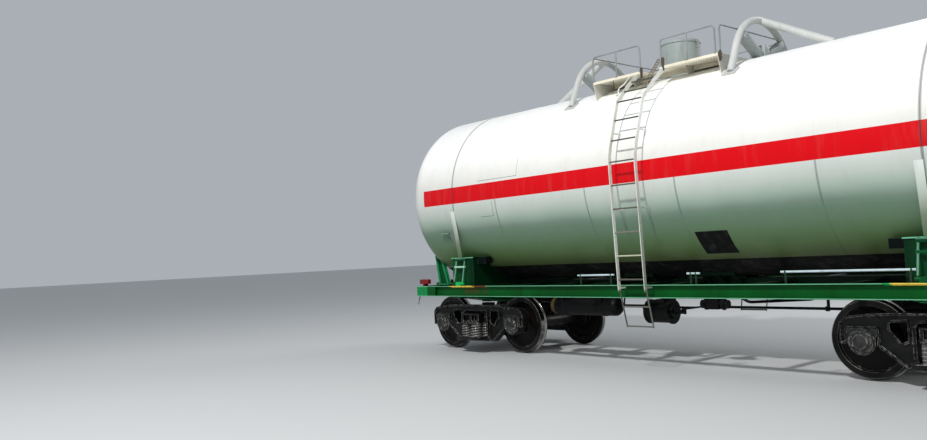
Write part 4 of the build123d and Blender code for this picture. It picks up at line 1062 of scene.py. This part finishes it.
# small tag shelf on the tank beside the left strap, with its bracket
shelfLook = {
    "place": (-4.23, -1.425, 2.168), "size": (0.21, 0.06, 0.008), "lip": 0.008, "drop": 0.014,
    "legs": [[(-4.14, -1.42, 2.165), (-4.06, -1.35, 2.02), (-4.09, -1.255, 1.9)],
             [(-4.16, -1.42, 2.165), (-4.2, -1.34, 2.02), (-4.19, -1.27, 1.92)]],
    "legRadius": 0.006, "rounding": 0.002,
}
shelf = block(shelfLook["size"], shelfLook["place"])
edit(shelf)
front = shelfLook["place"][1] - shelfLook["size"][1] / 2
pick(shelf, toward(0, -1, 0))
pull(0, -shelfLook["lip"], 0)
pick(shelf, lambda middle, normal: normal.z < -0.9 and middle.y < front)
pull(0, 0, -shelfLook["drop"])
done()
roundEdges(shelf, shelfLook["rounding"])
shelf.name = "tag_shelf"
finishPiece(shelf, "ladder_paint")
legs = [pipe(leg, shelfLook["legRadius"], "leg") for leg in shelfLook["legs"]]
bracket = joinAll(legs, "shelf_brackets")
finishPiece(bracket, "rail_paint", smooth=60)


# dark cleats that hold the rail posts at the deck's edge
cleatLook = {
    "wide": 0.05, "deep": 0.018, "y": 0.948, "rim": 0.01, "proud": 0.008, "foot": (0.6, 0.8, 1),
    "topRim": 0.006, "neck": 0.02, "rounding": 0.002,
    # x, z and height
    "places": ((-0.6, 4.2, 0.05), (-0.07, 4.34, 0.14), (0.32, 4.39, 0.18), (1.255, 4.315, 0.13)),
    "rod": [(-0.6, 0.944, 4.345), (-0.6, 0.948, 4.29), (-0.6, 0.948, 4.22)], "rodRadius": 0.006,
}


def makeCleat(high):
    s = cleatLook
    cleat = block((s["wide"], s["deep"], high))
    edit(cleat)
    pick(cleat, toward(0, 1, 0, orBack=True))
    bpy.ops.mesh.inset(thickness=s["rim"], use_individual=True)
    bpy.ops.mesh.extrude_region_shrink_fatten(TRANSFORM_OT_shrink_fatten={"value": s["proud"]})
    pick(cleat, toward(0, 0, -1))
    bpy.ops.transform.resize(value=s["foot"], center_override=(0, 0, -high / 2))
    pick(cleat, toward(0, 0, 1))
    bpy.ops.mesh.inset(thickness=s["topRim"])
    pull(0, 0, s["neck"])
    done()
    roundEdges(cleat, s["rounding"])
    return cleat


cleatPaint = wornMetal("cleatPaint", colour=rgb(88, 76, 62), shade=rgb(60, 50, 42), rustAmount=0.6,
                       rustFrom=0.55)
cleats = [spread(makeCleat(high), [((x, side * cleatLook["y"], z), (0, 0, 1)) for side in sides], "cleat")
          for x, z, high in cleatLook["places"]]
cleats += [pipe([(x, side * y, z) for x, y, z in cleatLook["rod"]], cleatLook["rodRadius"], "rod")
           for side in sides]  # the lowest ones hang on short rods
cleats = joinAll(cleats, "rail_cleats")
finishPiece(cleats, "rail_paint", material=cleatPaint)


# narrow rack of steps through each ladder hatch
rackLook = {"low": (-1.0, 4.13), "high": (-0.56, 4.595), "half": 0.032, "wire": 0.009, "rungs": 11,
            "rim": 0.002}


def onRack(x, side, share):
    # a place on the slope of the rack
    (lowY, lowZ), (highY, highZ) = rackLook["low"], rackLook["high"]
    return x, side * (lowY + (highY - lowY) * share), lowZ + (highZ - lowZ) * share


rack = []
for side in sides:
    for x in (-rackLook["half"], rackLook["half"]):
        rack.append(pipe([onRack(x, side, share) for share in (0, 0.5, 1)], rackLook["wire"], "rackRail"))
    for step in range(rackLook["rungs"]):
        place = onRack(0, side, (step + 0.5) / rackLook["rungs"])
        rung = cylinder(8, rackLook["wire"], 2 * rackLook["half"], place, pi / 2)
        edit(rung)
        pick(rung, toward(1, 0, 0, orBack=True))
        bpy.ops.mesh.inset(thickness=rackLook["rim"], use_individual=True)
        done()
        rack.append(rung)
rack = joinAll(rack, "hatch_racks")
tidyNormals(rack)
rackPaint = wornMetal("rackPaint", colour=rgb(138, 130, 116), shade=rgb(104, 94, 80), rustAmount=0.5,
                      rustFrom=0.6)
finishPiece(rack, "rail_paint", smooth=60, material=rackPaint)
print("hooks, shelf, cleats and racks made")


# channels over the arches' V struts, and the box where they meet
channelLook = {
    "top": (0.528, 4.64), "foot": (0.07, 4.372), "wide": 0.128, "deep": 0.1, "rim": 0.01,
    "hollow": 0.012, "end": 0.025, "endTaper": 0.66, "rounding": 0.004,
    "box": (0.25, 0.15, 0.2), "boxFloor": 4.36, "boxShift": 0.04, "boxTaper": (0.86, 0.7, 1),
    "boxRim": 0.012, "boxHollow": 0.008, "boxRounding": 0.005,
}


def makeChannel(side):
    # made along +Z, open toward the tank, then leaned on the strut
    s = channelLook
    run = Vector((0, s["top"][0] - s["foot"][0], s["top"][1] - s["foot"][1]))
    channel = block((s["wide"], s["deep"], run.length), (0, 0, run.length / 2))
    edit(channel)
    pick(channel, toward(0, -1, 0))
    bpy.ops.mesh.inset(thickness=s["rim"])
    pull(0, s["hollow"], 0)
    pick(channel, toward(0, 0, 1))
    pull(0, 0, s["end"])
    bpy.ops.transform.resize(value=(s["endTaper"], s["endTaper"], 1),
                             center_override=(0, 0, run.length + s["end"]))
    done()
    roundEdges(channel, s["rounding"], 2)
    channel.rotation_euler = (-atan2(run.y, run.z), 0, 0)
    channel.location = (0, s["foot"][0], s["foot"][1])
    settle(channel)
    if side < 0:
        channel.rotation_euler = (0, 0, pi)
        settle(channel)
    return channel


def makeBox(shift):
    s = channelLook
    high = s["box"][2]
    box = block(s["box"], (shift, 0, s["boxFloor"] + high / 2))
    edit(box)
    pick(box, toward(0, 0, 1))
    bpy.ops.transform.resize(value=s["boxTaper"], center_override=(0, 0, s["boxFloor"] + high))
    bpy.ops.mesh.inset(thickness=s["boxRim"])
    pull(0, 0, -s["boxHollow"])
    done()
    roundEdges(box, s["boxRounding"], 2)
    return box


for number, archX in enumerate(car["archX"], 1):
    shift = channelLook["boxShift"] * (-1 if archX > 0 else 1)
    webs = joinAll([makeChannel(1), makeChannel(-1), makeBox(shift)], "arch_webs_%d" % number)
    webs.location.x = archX
    settle(webs)
    finishPiece(webs, "ladder_paint", material=archPaint)
print("arch webs made")


# clips that hold the long pipes to their posts
clipLook = {"posts": (2.26, 3.72, 0.91, 0.99, -1.04, -0.46), "radius": 0.0165, "wire": 0.0035,
            "steps": (20, 6), "broad": 3.0}
clips = []
for side in sides:
    for x in clipLook["posts"]:
        centre = (x, side * car["pipeY"], car["pipeZ"])
        clip = hoop(clipLook["radius"], clipLook["wire"], clipLook["steps"], centre, pi / 2)
        clips.append(stretchRing(clip, (clipLook["broad"], 1, 1), centre))
clips = joinAll(clips, "pipe_clips")
finishPiece(clips, "frame_paint", smooth=60)
print("pipe clips made")


# cast bosses on the side frames, and the studs of their wear plates
studLook = {
    "bosses": {"x": (-0.83, -0.73, 0.73, 0.83), "face": 1.059, "z": 0.795},
    "studs": {"x": (-0.27, -0.09, 0.09, 0.27), "face": 1.3, "z": 0.539},
    "size": 0.014,
}
for number, pivotX in bogies:
    spots = [((pivotX + x, side * row["face"], row["z"]), (0, side, 0)) for side in sides
             for row in (studLook["bosses"], studLook["studs"]) for x in row["x"]]
    studs = spread(makeBolt(studLook["size"]), spots, "bogie_studs_%d" % number)
    finishPiece(studs, "bogie_iron", "bogie_%d" % number)
print("bogie studs placed")


# camera, floor and light
cameraLook = {"place": (7.385, -11.097, 1.736), "turn": (92.5124, 2.7189, 49.0785), "lens": 32.19,
              "sensor": 36.0, "sees": 400.0}
cameraData = bpy.data.cameras.new("camera")
cameraData.lens = cameraLook["lens"]
cameraData.sensor_width = cameraLook["sensor"]
cameraData.dof.use_dof = False
cameraData.clip_end = cameraLook["sees"]
camera = bpy.data.objects.new("camera", cameraData)
camera.location = cameraLook["place"]
camera.rotation_euler = [radians(a) for a in cameraLook["turn"]]
bpy.context.collection.objects.link(camera)
bpy.context.scene.camera = camera

floorLook = {"size": 300, "colour": (0.56, 0.565, 0.56, 1), "roughness": 0.8}
bpy.ops.mesh.primitive_plane_add(size=floorLook["size"], location=(0, 0, 0))
floor = bpy.context.object
floor.name = "floor"
floorPaint = bpy.data.materials.new("floorPaint")
floorPaint.use_nodes = True
floorShader = floorPaint.node_tree.nodes["Principled BSDF"]
floorShader.inputs["Base Color"].default_value = floorLook["colour"]
floorShader.inputs["Roughness"].default_value = floorLook["roughness"]
floor.data.materials.append(floorPaint)

skyLook = {"Color": (0.80, 0.86, 0.93, 1), "Strength": 0.5}
world = bpy.data.worlds.new("studio")
bpy.context.scene.world = world
world.use_nodes = True
for key, value in skyLook.items():
    world.node_tree.nodes["Background"].inputs[key].default_value = value
bpy.context.scene.view_settings.view_transform = "Standard"

lamps = [
    # name, place, aims at, size, power
    ("keyLight", (2.5, -15, 16), (0, 0, 2.4), 1.4, 3100.0),
    ("fillLight", (14, -16, 7), (2, 0, 2), 9.0, 220.0),
    ("rimLight", (2, 14, 12), (0, 0, 3), 8.0, 900.0),
]
for lampName, place, aim, size, power in lamps:
    lampData = bpy.data.lights.new(lampName, "AREA")
    lampData.shape = "DISK"
    lampData.size = size
    lampData.energy = power
    lamp = bpy.data.objects.new(lampName, lampData)
    lamp.location = place
    lamp.rotation_euler = (Vector(aim) - Vector(place)).to_track_quat("-Z", "Y").to_euler()
    bpy.context.collection.objects.link(lamp)
print("camera, floor and lights set")
